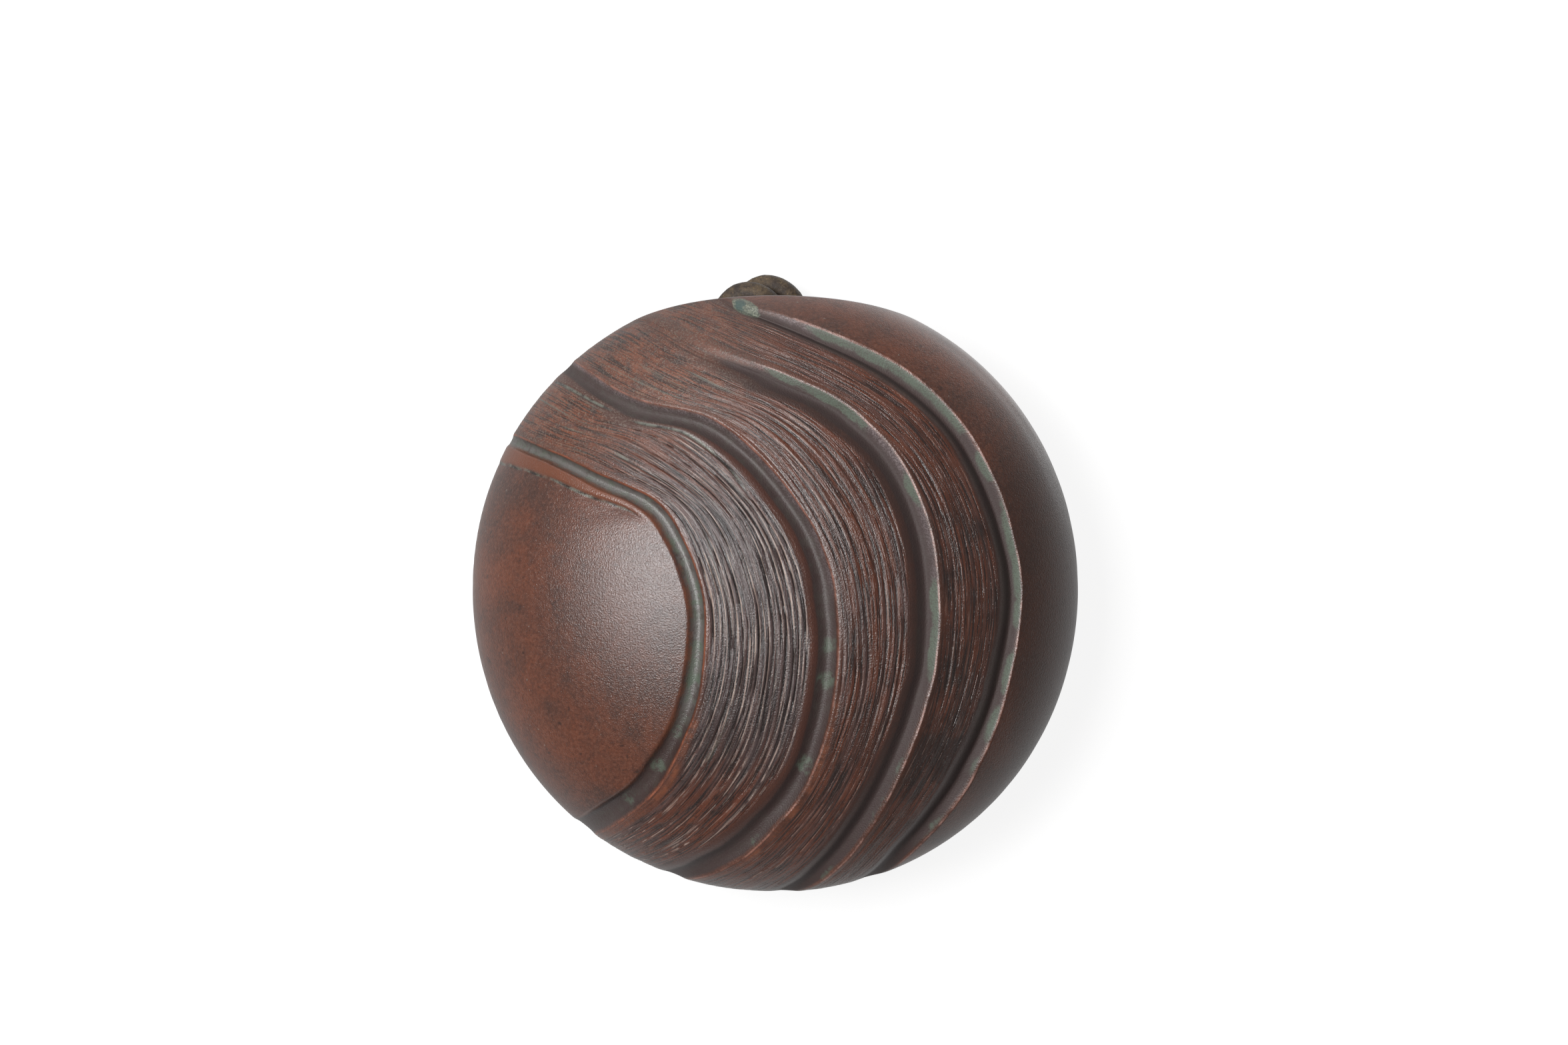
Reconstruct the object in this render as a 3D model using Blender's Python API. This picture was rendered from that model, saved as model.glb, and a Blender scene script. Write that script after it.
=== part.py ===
# Wall vase: a hand-built stoneware pebble, carved with four deep wave grooves,
# that hangs on a nail by a knotted leather cord.
#
# It is made as a potter makes it. A domed front shell is luted onto a bent back
# slab, a clay strap on the slab carries the cord, and the slot between the
# shell's lip and the slab's top edge is the mouth.
#
# Frame: metres, +Z up, the front faces -Y, the wall is the plane y = 0.
# Angles go round the front view from +X towards +Z. "Roll" runs along the skin
# from the dome's pole (0) over the widest line (90 degrees) to the back (180).

import math

import bmesh
import bpy
import numpy as np
from mathutils import Vector

MM = 0.001

# Pebble
HALF_WIDTH = 69.7 * MM  # mean radius of the outline
TOP_SWELL = 1.35 * MM  # the outline is this much fuller at the top
SIDE_SWELL = 0.5 * MM  # and at the right
SHOULDER_SWELL = 0.22 * MM  # and on the four diagonals
FRONT_DEPTH = 37.0 * MM  # dome, from the widest line to the pole
BACK_DEPTH = 29.0 * MM  # from the widest line to the wall
TUCK = 20.0 * MM  # how far the skin draws in behind the widest line

# Walls
SHELL_WALL = 6.0 * MM
LIP_WALL = 4.2 * MM
LIP_TAPER = 12.0 * MM  # height under the mouth over which the shell thins
SLAB_WALL = 4.5 * MM
BLANK_REACH = 1.2  # the slab's blank, as a share of the half width
SEAM = 0.3 * MM  # joint between two pieces of clay
EDGE_ROUND = 0.8 * MM
ON_PLANE = 0.01 * MM  # a point nearer than this lies on a plane

# Mouth and leaning upper back
LIP_DROP = 2.25 * MM  # front lip, below the top of the full pebble
MOUTH_TILT = math.radians(29.6)  # the mouth falls towards the wall
REAR_LIP_SET = 15.0 * MM  # rear lip, in front of the wall
BACK_LEAN = math.radians(18.5)  # upper back, from upright

# Carving
GROOVE_WIDTH = 4.6 * MM
GROOVE_DEPTH = 2.5 * MM
BAND_CROWN = 0.35 * MM  # how far a band between grooves stands up in its middle
CARVING_ENDS = (math.radians(62), math.radians(100))  # rolls between which it dies out
ROWS = 32
END_PULL = 0.2  # share of a column over which its end is drawn to the skin's edge
FRONT_LIMIT = 0.995  # a place on the front stays inside this share of the outline
SLOPE_STEP = 1e-4  # radians between the points that give the skin's slope
WIDTH_STEP = 0.02  # share of a band over which its scale is measured at a groove
SPLINE_STEPS = 24  # points read between two given ones
EDGE_STEPS = 360  # directions in which the skin's edge is found
HALVINGS = 36
SHELL_SMOOTH = math.radians(60)  # edges sharper than this stay crisp

# Cord and its strap
CORD_RADIUS = 3.0 * MM
CORD_CLEARANCE = 0.6 * MM
STRAP_THICKNESS = 3.0 * MM
STRAP_WIDTH = 15.0 * MM
STRAP_FOOT = 3.4 * MM  # how far each foot spreads on the slab
STRAP_DROP = 15.0 * MM  # middle of the strap, down the slab from the rear lip
STRAP_BEVEL = 0.7 * MM
STRAP_WAIST = (0.35, 0.4)  # where a foot turns up, of its spread and of the cord's height
STRAP_SMOOTH = math.radians(40)
STRAP_CORNER = math.radians(60)  # corners sharper than this are softened

# Knot: the two strands wind round each other along an axis that starts low at the
# front left and ends higher at the back right
KNOT_CENTRE = (-3.6 * MM, -3.6 * MM, 24.2 * MM)  # from the cord's axis in the strap
KNOT_YAW = math.radians(48)  # the axis, from straight across
KNOT_RISE = math.radians(15)
KNOT_RADIUS = 4.9 * MM  # of each strand's centreline round the knot's axis
KNOT_HALF_LENGTH = 11.5 * MM
KNOT_TURNS = 1.52
LEFT_PART = (0.16, 0.74)  # where the left strand comes in and its tail leaves, of the turns
RIGHT_PART = (0.14, 0.93)
KNOT_ARCH = 20.0  # the axis drops by this times the distance from its middle squared
KNOT_STEPS = 12
CORD_STEP = 2.6 * MM
NEIGHBOURS = 3.6  # places nearer along the cord than this many radii are neighbours

# How the surface of a groove runs across it: place as a share of the groove's
# width, depth as a share of its depth. The left wall rolls in softly and the
# right wall ends in a crisp edge.
GROOVE_PROFILE = (
    (-0.90, 0.00), (-0.62, 0.22), (-0.40, 0.62), (-0.18, 0.94), (0.00, 1.00),
    (0.20, 0.88), (0.38, 0.50), (0.50, 0.08), (0.72, 0.00),
)

# The grooves, left to right: the angle at which each begins on the back seam or
# the lip, its centreline on the front in hundredths of the half width, the angle
# at which it ends, and the share of its length over which it fades in.
GROOVES = (
    (150, ((-83.2, 49.9), (-59.8, 39.3), (-37.0, 27.0), (-26.8, 6.9), (-24.1, -11.0),
           (-28.6, -36.7), (-40.5, -58.7), (-62.3, -76.3)), 231, 0.0),
    (132, ((-65.1, 74.0), (-47.1, 62.8), (-21.1, 55.8), (-2.0, 39.7), (14.9, 11.2),
           (17.6, -26.1), (8.6, -58.2), (-10.8, -81.6), (-30.6, -92.5)), 246, 0.0),
    (117, ((-23.7, 80.8), (-2.0, 71.9), (19.4, 61.7), (38.5, 43.0), (49.1, 16.4),
           (50.1, -17.6), (40.6, -52.1), (20.7, -86.4), (9.9, -96.0)), 264, 0.3),
    (100, ((-9.8, 94.0), (15.1, 84.6), (40.9, 71.2), (60.3, 52.8), (74.2, 24.8),
           (78.5, -1.0), (73.5, -31.0), (62.7, -58.1), (41.3, -86.1)), 278, 0.1),
)
LEFT_SIDE = (165, 215)  # the skin's left edge, along the back seam
RIGHT_SIDE = (84, -68)  # and its right edge, from the lip round to the seam
COLUMNS_BETWEEN = (9, 3, 3, 3, 8)  # plain columns left of, between, right of them

# Finishes: name, colour, roughness
FRONT_GLAZE = ("iron_glaze", (0.135, 0.052, 0.034), 0.34)
BACK_GLAZE = ("iron_glaze_back", (0.11, 0.045, 0.032), 0.42)
STRAP_GLAZE = ("iron_glaze_strap", (0.10, 0.042, 0.03), 0.42)
LEATHER = ("waxed_leather", (0.085, 0.052, 0.03), 0.5)

# The cord's hand-laid points, from its axis in the strap, in millimetres.
LEFT_STRAND = ((-15.2, -4.4, 17.0), (-20.8, -1.1, 11.8), (-19.8, 0.0, 4.4), (-14.0, 0.0, 1.0))
IN_STRAP = ((-7.5, 0.0, 0.0), (0.0, 0.0, -0.1), (7.5, 0.0, 0.0))
RIGHT_STRAND = ((13.0, 0.0, 0.9), (17.0, 0.0, 4.4), (15.8, 0.8, 12.0), (14.6, -0.7, 18.2))
RIGHT_TAIL = ((-1.8, 3.3, 20.9), (-1.9, 3.4, 21.7))
LEFT_TAIL = ((-24.2, -7.6, 20.1), (-25.5, -1.4, 18.3))


# The pebble

def outline_radius(angle):
    """The outline's radius in the front view, a little out of round."""
    return (HALF_WIDTH + TOP_SWELL * math.sin(angle) + SIDE_SWELL * math.cos(angle)
            + SHOULDER_SWELL * (1 - math.cos(4 * angle)))


def pebble_point(angle, roll, inset=0.0):
    """A point of the skin, or of the same form drawn in by inset."""
    radius = outline_radius(angle)
    if roll <= math.pi / 2:
        out = (radius - inset) * math.sin(roll)
        y = -BACK_DEPTH - (FRONT_DEPTH - inset) * math.cos(roll)
    else:
        out = radius - TUCK + (TUCK - inset) * math.sin(roll)
        y = -BACK_DEPTH - (BACK_DEPTH - inset) * math.cos(roll)
    return Vector((out * math.cos(angle), y, out * math.sin(angle)))


# The planes that trim it, and where the strap sits on the slab
TOP = outline_radius(math.pi / 2)
FRONT_LIP_Z = TOP - LIP_DROP
FRONT_LIP_Y = -BACK_DEPTH - FRONT_DEPTH * math.sqrt(1 - (FRONT_LIP_Z / TOP) ** 2)
FRONT_LIP = Vector((0, FRONT_LIP_Y, FRONT_LIP_Z))
MOUTH_NORMAL = Vector((0, math.sin(MOUTH_TILT), math.cos(MOUTH_TILT)))
REAR_LIP_Z = FRONT_LIP_Z - (-REAR_LIP_SET - FRONT_LIP_Y) * math.tan(MOUTH_TILT)
REAR_LIP = Vector((0, -REAR_LIP_SET, REAR_LIP_Z))
LEAN_NORMAL = Vector((0, math.cos(BACK_LEAN), math.sin(BACK_LEAN)))
LEAN_UP = Vector((0, -math.sin(BACK_LEAN), math.cos(BACK_LEAN)))
FOLD_Z = REAR_LIP_Z - REAR_LIP_SET / math.tan(BACK_LEAN)

STRAP_MIDDLE = REAR_LIP - LEAN_UP * STRAP_DROP
CORD_LIFT = CORD_RADIUS + CORD_CLEARANCE
CORD_AXIS = STRAP_MIDDLE + LEAN_NORMAL * CORD_LIFT


def below_mouth(point):
    """How far a point lies under the plane of the mouth."""
    return -MOUTH_NORMAL.dot(point - FRONT_LIP)


def room(point):
    """How far a point is from the planes that end the front shell."""
    before_wall = -SLAB_WALL - SEAM - point.y
    before_lean = -LEAN_NORMAL.dot(point - REAR_LIP) - SLAB_WALL - SEAM
    return min(before_wall, before_lean, below_mouth(point))


def shell_inset(angle, roll):
    """The shell's wall there: it thins towards the lip."""
    depth = below_mouth(pebble_point(angle, roll))
    share = smooth_share(depth / LIP_TAPER)
    return LIP_WALL + (SHELL_WALL - LIP_WALL) * share


def smooth_share(share):
    share = min(max(share, 0.0), 1.0)
    return share * share * (3 - 2 * share)


def inner_point(angle, roll):
    return pebble_point(angle, roll, shell_inset(angle, roll))


def edge_roll(surface, angle, margin):
    """The roll at which a surface comes within margin of the trimming planes."""
    low, high = 0.0, math.pi
    for _ in range(HALVINGS):
        middle = (low + high) / 2
        if room(surface(angle, middle)) > margin:
            low = middle
        else:
            high = middle
    return low


EDGE_ANGLES = np.linspace(-math.pi, math.pi, EDGE_STEPS + 1)
OUTER_EDGE = [edge_roll(pebble_point, a, EDGE_ROUND) for a in EDGE_ANGLES]
INNER_EDGE = [edge_roll(inner_point, a, EDGE_ROUND) for a in EDGE_ANGLES]


# The carved skin as a grid: columns follow the grooves, rows cross them

def smooth_curve(points, count):
    """Evenly spaced points on a centripetal spline through the given ones."""
    p = np.array(points, float)
    p = np.vstack([2 * p[0] - p[1], p, 2 * p[-1] - p[-2]])
    dense = []
    for a, b, c, d in zip(p[:-3], p[1:-2], p[2:-1], p[3:]):
        t0 = 0.0
        t1 = t0 + math.sqrt(np.linalg.norm(b - a))
        t2 = t1 + math.sqrt(np.linalg.norm(c - b))
        t3 = t2 + math.sqrt(np.linalg.norm(d - c))
        for t in np.linspace(t1, t2, SPLINE_STEPS, endpoint=False):
            ab = (t1 - t) / (t1 - t0) * a + (t - t0) / (t1 - t0) * b
            bc = (t2 - t) / (t2 - t1) * b + (t - t1) / (t2 - t1) * c
            cd = (t3 - t) / (t3 - t2) * c + (t - t2) / (t3 - t2) * d
            abc = (t2 - t) / (t2 - t0) * ab + (t - t0) / (t2 - t0) * bc
            bcd = (t3 - t) / (t3 - t1) * bc + (t - t1) / (t3 - t1) * cd
            dense.append((t2 - t) / (t2 - t1) * abc + (t - t1) / (t2 - t1) * bcd)
    dense = np.array(dense + [p[-2]])
    along = np.concatenate([[0], np.cumsum(np.linalg.norm(np.diff(dense, axis=0), axis=1))])
    at = np.linspace(0, along[-1], count)
    return np.stack([np.interp(at, along, dense[:, k]) for k in range(p.shape[1])], axis=1)


def polar(angle, roll):
    """A place on the skin in a flat chart: its roll, out along its angle."""
    return np.array([roll * math.cos(angle), roll * math.sin(angle)])


def angle_and_roll(place):
    return math.atan2(place[1], place[0]), math.hypot(*place)


def on_edge(degrees):
    angle = math.radians((degrees + 180) % 360 - 180)
    return polar(angle, np.interp(angle, EDGE_ANGLES, OUTER_EDGE))


def on_front(x, z):
    """The place of a point that the front view shows, in hundredths of the half width."""
    angle = math.atan2(z, x)
    out = math.hypot(x, z) / 100 * HALF_WIDTH
    return polar(angle, math.asin(min(out / outline_radius(angle), FRONT_LIMIT)))


def side_curve(degrees):
    return np.array([on_edge(a) for a in np.linspace(*degrees, ROWS + 1)])


def groove_curve(begin, points, end):
    route = [on_edge(begin)] + [on_front(x, z) for x, z in points] + [on_edge(end)]
    return smooth_curve(route, ROWS + 1)


def skin_point(place):
    return pebble_point(*angle_and_roll(place))


def lining_point(place):
    """The point of the shell's inner face that lies behind a place."""
    angle, roll = angle_and_roll(place)
    share = roll / np.interp(angle, EDGE_ANGLES, OUTER_EDGE)
    return inner_point(angle, share * np.interp(angle, EDGE_ANGLES, INNER_EDGE))


def edge_point(surface, place, margin):
    """Where a surface ends at a place on the edge, exactly margin from the planes."""
    angle = angle_and_roll(place)[0]
    return surface(angle, edge_roll(surface, angle, margin))


def groove_depth(offset, width):
    places = [place * width for place, _ in GROOVE_PROFILE]
    depths = [depth * GROOVE_DEPTH for _, depth in GROOVE_PROFILE]
    return float(np.interp(offset, places, depths))


def skin_columns():
    """For each column: its band, its share across it, or its offset from a groove."""
    before = [place for place, _ in GROOVE_PROFILE if place < 0]
    after = [place for place, _ in GROOVE_PROFILE if place > 0]
    columns = [(0, "share", 0.0)]
    for band, count in enumerate(COLUMNS_BETWEEN):
        if band > 0:
            columns += [(band, "after", place) for place in [0.0] + after]
        columns += [(band, "between", (i + 1) / (count + 1)) for i in range(count)]
        if band < len(COLUMNS_BETWEEN) - 1:
            columns += [(band, "before", place) for place in before]
    return columns + [(len(COLUMNS_BETWEEN) - 1, "share", 1.0)]


def width_from(place, across):
    """A band's whole width, by the skin's scale just inside one of its curves."""
    step = skin_point(place + across * WIDTH_STEP) - skin_point(place)
    return step.length / WIDTH_STEP


def column_share(kind, value, widths, first, last):
    """Where a column crosses its band, from 0 at the left curve to 1 at the right."""
    reach_left = 0.0 if first else GROOVE_PROFILE[-1][0] * GROOVE_WIDTH / widths[0]
    reach_right = 0.0 if last else -GROOVE_PROFILE[0][0] * GROOVE_WIDTH / widths[1]
    if kind == "share":
        return value
    if kind == "after":
        return value * GROOVE_WIDTH / widths[0]
    if kind == "before":
        return 1 + value * GROOVE_WIDTH / widths[1]
    return reach_left + value * (1 - reach_left - reach_right)


def skin_places():
    """The grid's places on the skin, and how deep each is carved before it fades."""
    curves = [side_curve(LEFT_SIDE)]
    curves += [groove_curve(begin, points, end) for begin, points, end, _ in GROOVES]
    curves += [side_curve(RIGHT_SIDE)]
    columns = skin_columns()
    bands = len(COLUMNS_BETWEEN)
    places = np.zeros((len(columns), ROWS + 1, 2))
    depths = np.zeros((len(columns), ROWS + 1))
    for c, (band, kind, value) in enumerate(columns):
        for row in range(ROWS + 1):
            left, right = curves[band][row], curves[band + 1][row]
            widths = (width_from(left, right - left), width_from(right, left - right))
            share = column_share(kind, value, widths, band == 0, band == bands - 1)
            places[c, row] = left + (right - left) * share
            crown = BAND_CROWN * (2 * share - 1) ** 2 if 0 < band < bands - 1 else 0.0
            depths[c, row] = crown
            for side, groove in ((share * widths[0], band - 1), ((share - 1) * widths[1], band)):
                if 0 <= groove < len(GROOVES):
                    fade = GROOVES[groove][3]
                    strength = smooth_share(row / ROWS / fade) if fade else 1.0
                    cut = groove_depth(side, GROOVE_WIDTH) * strength
                    depths[c, row] = max(depths[c, row], cut)
    pull_ends_to_edge(places)
    return places, depths


def pull_ends_to_edge(places):
    """The first and last rows lie on the skin's edge, and their neighbours follow."""
    for column in places:
        pulls = []
        for place in (column[0], column[-1]):
            angle, roll = angle_and_roll(place)
            pulls.append(np.interp(angle, EDGE_ANGLES, OUTER_EDGE) / roll - 1)
        for row in range(ROWS + 1):
            t = row / ROWS
            near_first = max(0.0, 1 - t / END_PULL) ** 2
            near_last = max(0.0, 1 - (1 - t) / END_PULL) ** 2
            column[row] *= 1 + pulls[0] * near_first + pulls[1] * near_last


def carved_point(place, depth):
    """The place on the skin, sunk by the depth that is left of the carving there."""
    angle, roll = angle_and_roll(place)
    point = pebble_point(angle, roll)
    begin, end = CARVING_ENDS
    keep = 1 - smooth_share((roll - begin) / (end - begin))
    keep *= smooth_share(room(point) / (2 * GROOVE_DEPTH))
    along = pebble_point(angle, roll + SLOPE_STEP) - point
    round_it = pebble_point(angle + SLOPE_STEP, roll) - point
    return point + round_it.cross(along).normalized() * depth * keep


# Mesh helpers

def finish_object(name, mesh, material, smooth_angle=None):
    part = bpy.data.objects.new(name, mesh)
    bpy.context.collection.objects.link(part)
    mesh.materials.append(material)
    if smooth_angle is not None:
        mesh.shade_smooth()
        mesh.set_sharp_from_angle(angle=smooth_angle)
    return part


def mesh_from(name, vertices, faces):
    """A mesh whose faces all point outwards."""
    mesh = bpy.data.meshes.new(name)
    mesh.from_pydata([tuple(v) for v in vertices], [], faces)
    work = bmesh.new()
    work.from_mesh(mesh)
    bmesh.ops.recalc_face_normals(work, faces=work.faces)
    work.to_mesh(mesh)
    work.free()
    return mesh


def extrude_along_x(outline, half_width):
    """A prism over an outline of (y, z) points, from -half_width to half_width."""
    count = len(outline)
    vertices = [(-half_width, y, z) for y, z in outline]
    vertices += [(half_width, y, z) for y, z in outline]
    faces = [(i, (i + 1) % count, count + (i + 1) % count, count + i) for i in range(count)]
    faces += [tuple(range(count)), tuple(range(count, 2 * count))]
    return vertices, faces


def make_material(name, color, roughness):
    material = bpy.data.materials.new(name)
    material.use_nodes = True
    shader = material.node_tree.nodes["Principled BSDF"]
    shader.inputs["Base Color"].default_value = (*color, 1)
    shader.inputs["Roughness"].default_value = roughness
    shader.inputs["Metallic"].default_value = 0.0
    return material


# Front shell

def skin_edge(columns, rows):
    """The grid's outer ring of (column, row) places, once round."""
    ring = [(c, 0) for c in range(columns)]
    ring += [(columns - 1, r) for r in range(1, rows)]
    ring += [(c, rows - 1) for c in range(columns - 2, -1, -1)]
    return ring + [(0, r) for r in range(rows - 2, 0, -1)]


def make_front_shell(material):
    places, depths = skin_places()
    columns, rows = depths.shape
    grid = [(c, r) for c in range(columns) for r in range(rows)]
    number = {place: i for i, place in enumerate(grid)}
    ring = skin_edge(columns, rows)
    outer = [carved_point(places[g], depths[g]) for g in grid]
    inner = [lining_point(places[g]) for g in grid]
    for g in ring:
        outer[number[g]] = edge_point(pebble_point, places[g], EDGE_ROUND)
        inner[number[g]] = edge_point(inner_point, places[g], EDGE_ROUND)
    vertices = outer + inner
    faces = []
    for c in range(columns - 1):
        for r in range(rows - 1):
            corners = [number[c, r], number[c + 1, r], number[c + 1, r + 1], number[c, r + 1]]
            faces.append(tuple(corners))
            faces.append(tuple(len(outer) + i for i in reversed(corners)))
    loops = [[number[g] for g in ring]]
    lands = [[], []]
    for g in ring:
        outside = edge_point(pebble_point, places[g], 0.0)
        inside = edge_point(inner_point, places[g], 0.0)
        across = (inside - outside).normalized() * EDGE_ROUND
        lands[0].append(outside + across)
        lands[1].append(inside - across)
    for land in lands:
        loops.append([len(vertices) + i for i in range(len(ring))])
        vertices = vertices + land
    loops.append([len(outer) + number[g] for g in ring])
    for first, second in zip(loops, loops[1:]):
        for i in range(len(ring)):
            j = (i + 1) % len(ring)
            faces.append((first[i], first[j], second[j], second[i]))
    mesh = mesh_from("front_shell", vertices, faces)
    return finish_object("front_shell", mesh, material, SHELL_SMOOTH)


# Back wall

def make_pebble(angles=120, rolls=40):
    """The whole form, untrimmed, as a closed mesh."""
    vertices = [pebble_point(0, 0)]
    for i in range(1, rolls + 1):
        roll = math.pi * i / rolls
        vertices += [pebble_point(2 * math.pi * j / angles, roll) for j in range(angles)]
    faces = [(0, 1 + j, 1 + (j + 1) % angles) for j in range(angles)]
    for i in range(rolls - 1):
        a, b = 1 + i * angles, 1 + (i + 1) * angles
        faces += [(a + j, b + j, b + (j + 1) % angles, a + (j + 1) % angles)
                  for j in range(angles)]
    last = 1 + (rolls - 1) * angles
    faces.append(tuple(last + j for j in range(angles)))
    return mesh_from("back_wall", vertices, faces)


def slab_outline():
    """The bent slab from the side: wall plane, lean, top edge under the mouth."""
    low = -BLANK_REACH * HALF_WIDTH
    start = REAR_LIP - LEAN_NORMAL * SLAB_WALL
    top_front = start + LEAN_UP * (below_mouth(start) / MOUTH_NORMAL.dot(LEAN_UP))
    fold_front = start - LEAN_UP * ((start.y + SLAB_WALL) / LEAN_UP.y)
    outline = [(0, low), (0, FOLD_Z), (REAR_LIP.y, REAR_LIP.z)]
    outline += [(top_front.y, top_front.z), (-SLAB_WALL, fold_front.z), (-SLAB_WALL, low)]
    return outline


def make_back_wall(material):
    wall = finish_object("back_wall", make_pebble(), material)
    vertices, faces = extrude_along_x(slab_outline(), BLANK_REACH * HALF_WIDTH)
    cutter_mesh = mesh_from("slab_blank", vertices, faces)
    work = bmesh.new()
    work.from_mesh(cutter_mesh)
    top = [e for e in work.edges
           if all(abs(below_mouth(v.co)) < ON_PLANE for v in e.verts)
           and abs(e.verts[0].co.x - e.verts[1].co.x) > HALF_WIDTH]
    bmesh.ops.bevel(work, geom=top, offset=EDGE_ROUND, segments=3, profile=0.5,
                    affect="EDGES")
    work.to_mesh(cutter_mesh)
    work.free()
    cutter = bpy.data.objects.new("slab_blank", cutter_mesh)
    bpy.context.collection.objects.link(cutter)
    cutter.hide_render = True
    cutter.display_type = "WIRE"
    trim = wall.modifiers.new("trim_to_slab", "BOOLEAN")
    trim.operation = "INTERSECT"
    trim.solver = "EXACT"
    trim.object = cutter
    return wall


# Strap that the cord runs through

def strap_outline(steps=14):
    """The strap from its end, as (up the slab, off the slab) points."""
    inner = CORD_RADIUS + CORD_CLEARANCE
    outer = inner + STRAP_THICKNESS
    toe = outer + STRAP_FOOT
    waist = outer + STRAP_WAIST[0] * STRAP_FOOT
    rise = STRAP_WAIST[1] * CORD_LIFT
    arch = [math.pi * i / steps for i in range(steps + 1)]
    outline = [(toe, SEAM), (waist, rise)]
    outline += [(outer * math.cos(a), CORD_LIFT + outer * math.sin(a)) for a in arch]
    outline += [(-waist, rise), (-toe, SEAM), (-inner, SEAM)]
    outline += [(-inner * math.cos(a), CORD_LIFT + inner * math.sin(a)) for a in arch]
    return outline + [(inner, SEAM)]


def make_cord_lug(material):
    outline = []
    for up, off in strap_outline():
        point = STRAP_MIDDLE + LEAN_UP * up + LEAN_NORMAL * off
        outline.append((point.y, point.z))
    vertices, faces = extrude_along_x(outline, STRAP_WIDTH / 2)
    mesh = mesh_from("cord_lug", vertices, faces)
    lug = finish_object("cord_lug", mesh, material, STRAP_SMOOTH)
    soften = lug.modifiers.new("softened_ends", "BEVEL")
    soften.width = STRAP_BEVEL
    soften.segments = 2
    soften.limit_method = "ANGLE"
    soften.angle_limit = STRAP_CORNER
    return lug


# Cord

def knot_strand(side, part):
    """One strand's way through the knot, from where it comes in to its tail.

    Both strands wind round the knot's axis, half a turn apart. The left one
    (side 1) comes in at the lower left and the right one (side -1) mirrors it.
    """
    axis = Vector((math.cos(KNOT_YAW) * math.cos(KNOT_RISE),
                   math.sin(KNOT_YAW) * math.cos(KNOT_RISE), math.sin(KNOT_RISE)))
    level = Vector((-math.sin(KNOT_YAW), math.cos(KNOT_YAW), 0))
    upward = axis.cross(level)
    points = []
    begin, end = part
    for step in range(KNOT_STEPS + 1):
        share = begin + (end - begin) * step / KNOT_STEPS
        turn = 2 * math.pi * KNOT_TURNS * share
        x = KNOT_HALF_LENGTH * (2 * share - 1)
        y = KNOT_RADIUS * math.sin(turn)
        z = -KNOT_RADIUS * math.cos(turn) - KNOT_ARCH * x * x
        points.append(Vector(KNOT_CENTRE) + axis * side * x + level * side * y + upward * z)
    return points


def cord_route():
    """The whole cord: right tail, knot, left strand, strap, right strand, knot, left tail."""
    def laid(points):
        return [Vector(p) * MM for p in points]
    route = laid(RIGHT_TAIL) + knot_strand(1, LEFT_PART)[::-1] + laid(LEFT_STRAND)
    route += laid(IN_STRAP) + laid(RIGHT_STRAND) + knot_strand(-1, RIGHT_PART) + laid(LEFT_TAIL)
    route = [CORD_AXIS + p for p in route]
    length = sum((b - a).length for a, b in zip(route, route[1:]))
    return smooth_curve(route, round(length / CORD_STEP) + 1)


def least_gap(points):
    """The narrowest gap between two stretches of the cord that aren't neighbours."""
    skip = math.ceil(NEIGHBOURS * CORD_RADIUS / CORD_STEP)
    far = np.linalg.norm(points[:, None] - points[None], axis=2)
    apart = np.abs(np.arange(len(points))[:, None] - np.arange(len(points))[None]) > skip
    return far[apart].min() - 2 * CORD_RADIUS


def make_hanging_cord(material):
    points = cord_route()
    curve = bpy.data.curves.new("hanging_cord", "CURVE")
    curve.dimensions = "3D"
    curve.bevel_depth = CORD_RADIUS
    curve.bevel_resolution = 3
    curve.use_fill_caps = True
    spline = curve.splines.new("POLY")
    spline.points.add(len(points) - 1)
    for slot, point in zip(spline.points, points):
        slot.co = (*point, 1)
    spline.use_smooth = True
    curve.materials.append(material)
    cord = bpy.data.objects.new("hanging_cord", curve)
    bpy.context.collection.objects.link(cord)
    length = float(np.linalg.norm(np.diff(points, axis=0), axis=1).sum())
    print(f"cord: {length / MM:.0f} mm long, {len(points)} points, "
          f"least gap to itself {least_gap(points) / MM:.2f} mm")
    return cord


def main():
    for old in list(bpy.data.objects):
        bpy.data.objects.remove(old)
    make_front_shell(make_material(*FRONT_GLAZE))
    make_back_wall(make_material(*BACK_GLAZE))
    make_cord_lug(make_material(*STRAP_GLAZE))
    make_hanging_cord(make_material(*LEATHER))
    print(f"cord axis in the strap: y {CORD_AXIS.y / MM:.2f} mm, z {CORD_AXIS.z / MM:.2f} mm")


main()
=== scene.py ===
# %% [markdown]
# # A carved stoneware wall vase
#
# The object is a domed wall vase of iron-glazed stoneware, 14 cm wide. Four deep
# wave grooves sweep over its front, the bands between them are combed, and a knotted
# leather cord behind its top carries it on a nail.
#
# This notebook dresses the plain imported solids. It starts by loading them, so
# every new piece has the solids' own place and size.

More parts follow.
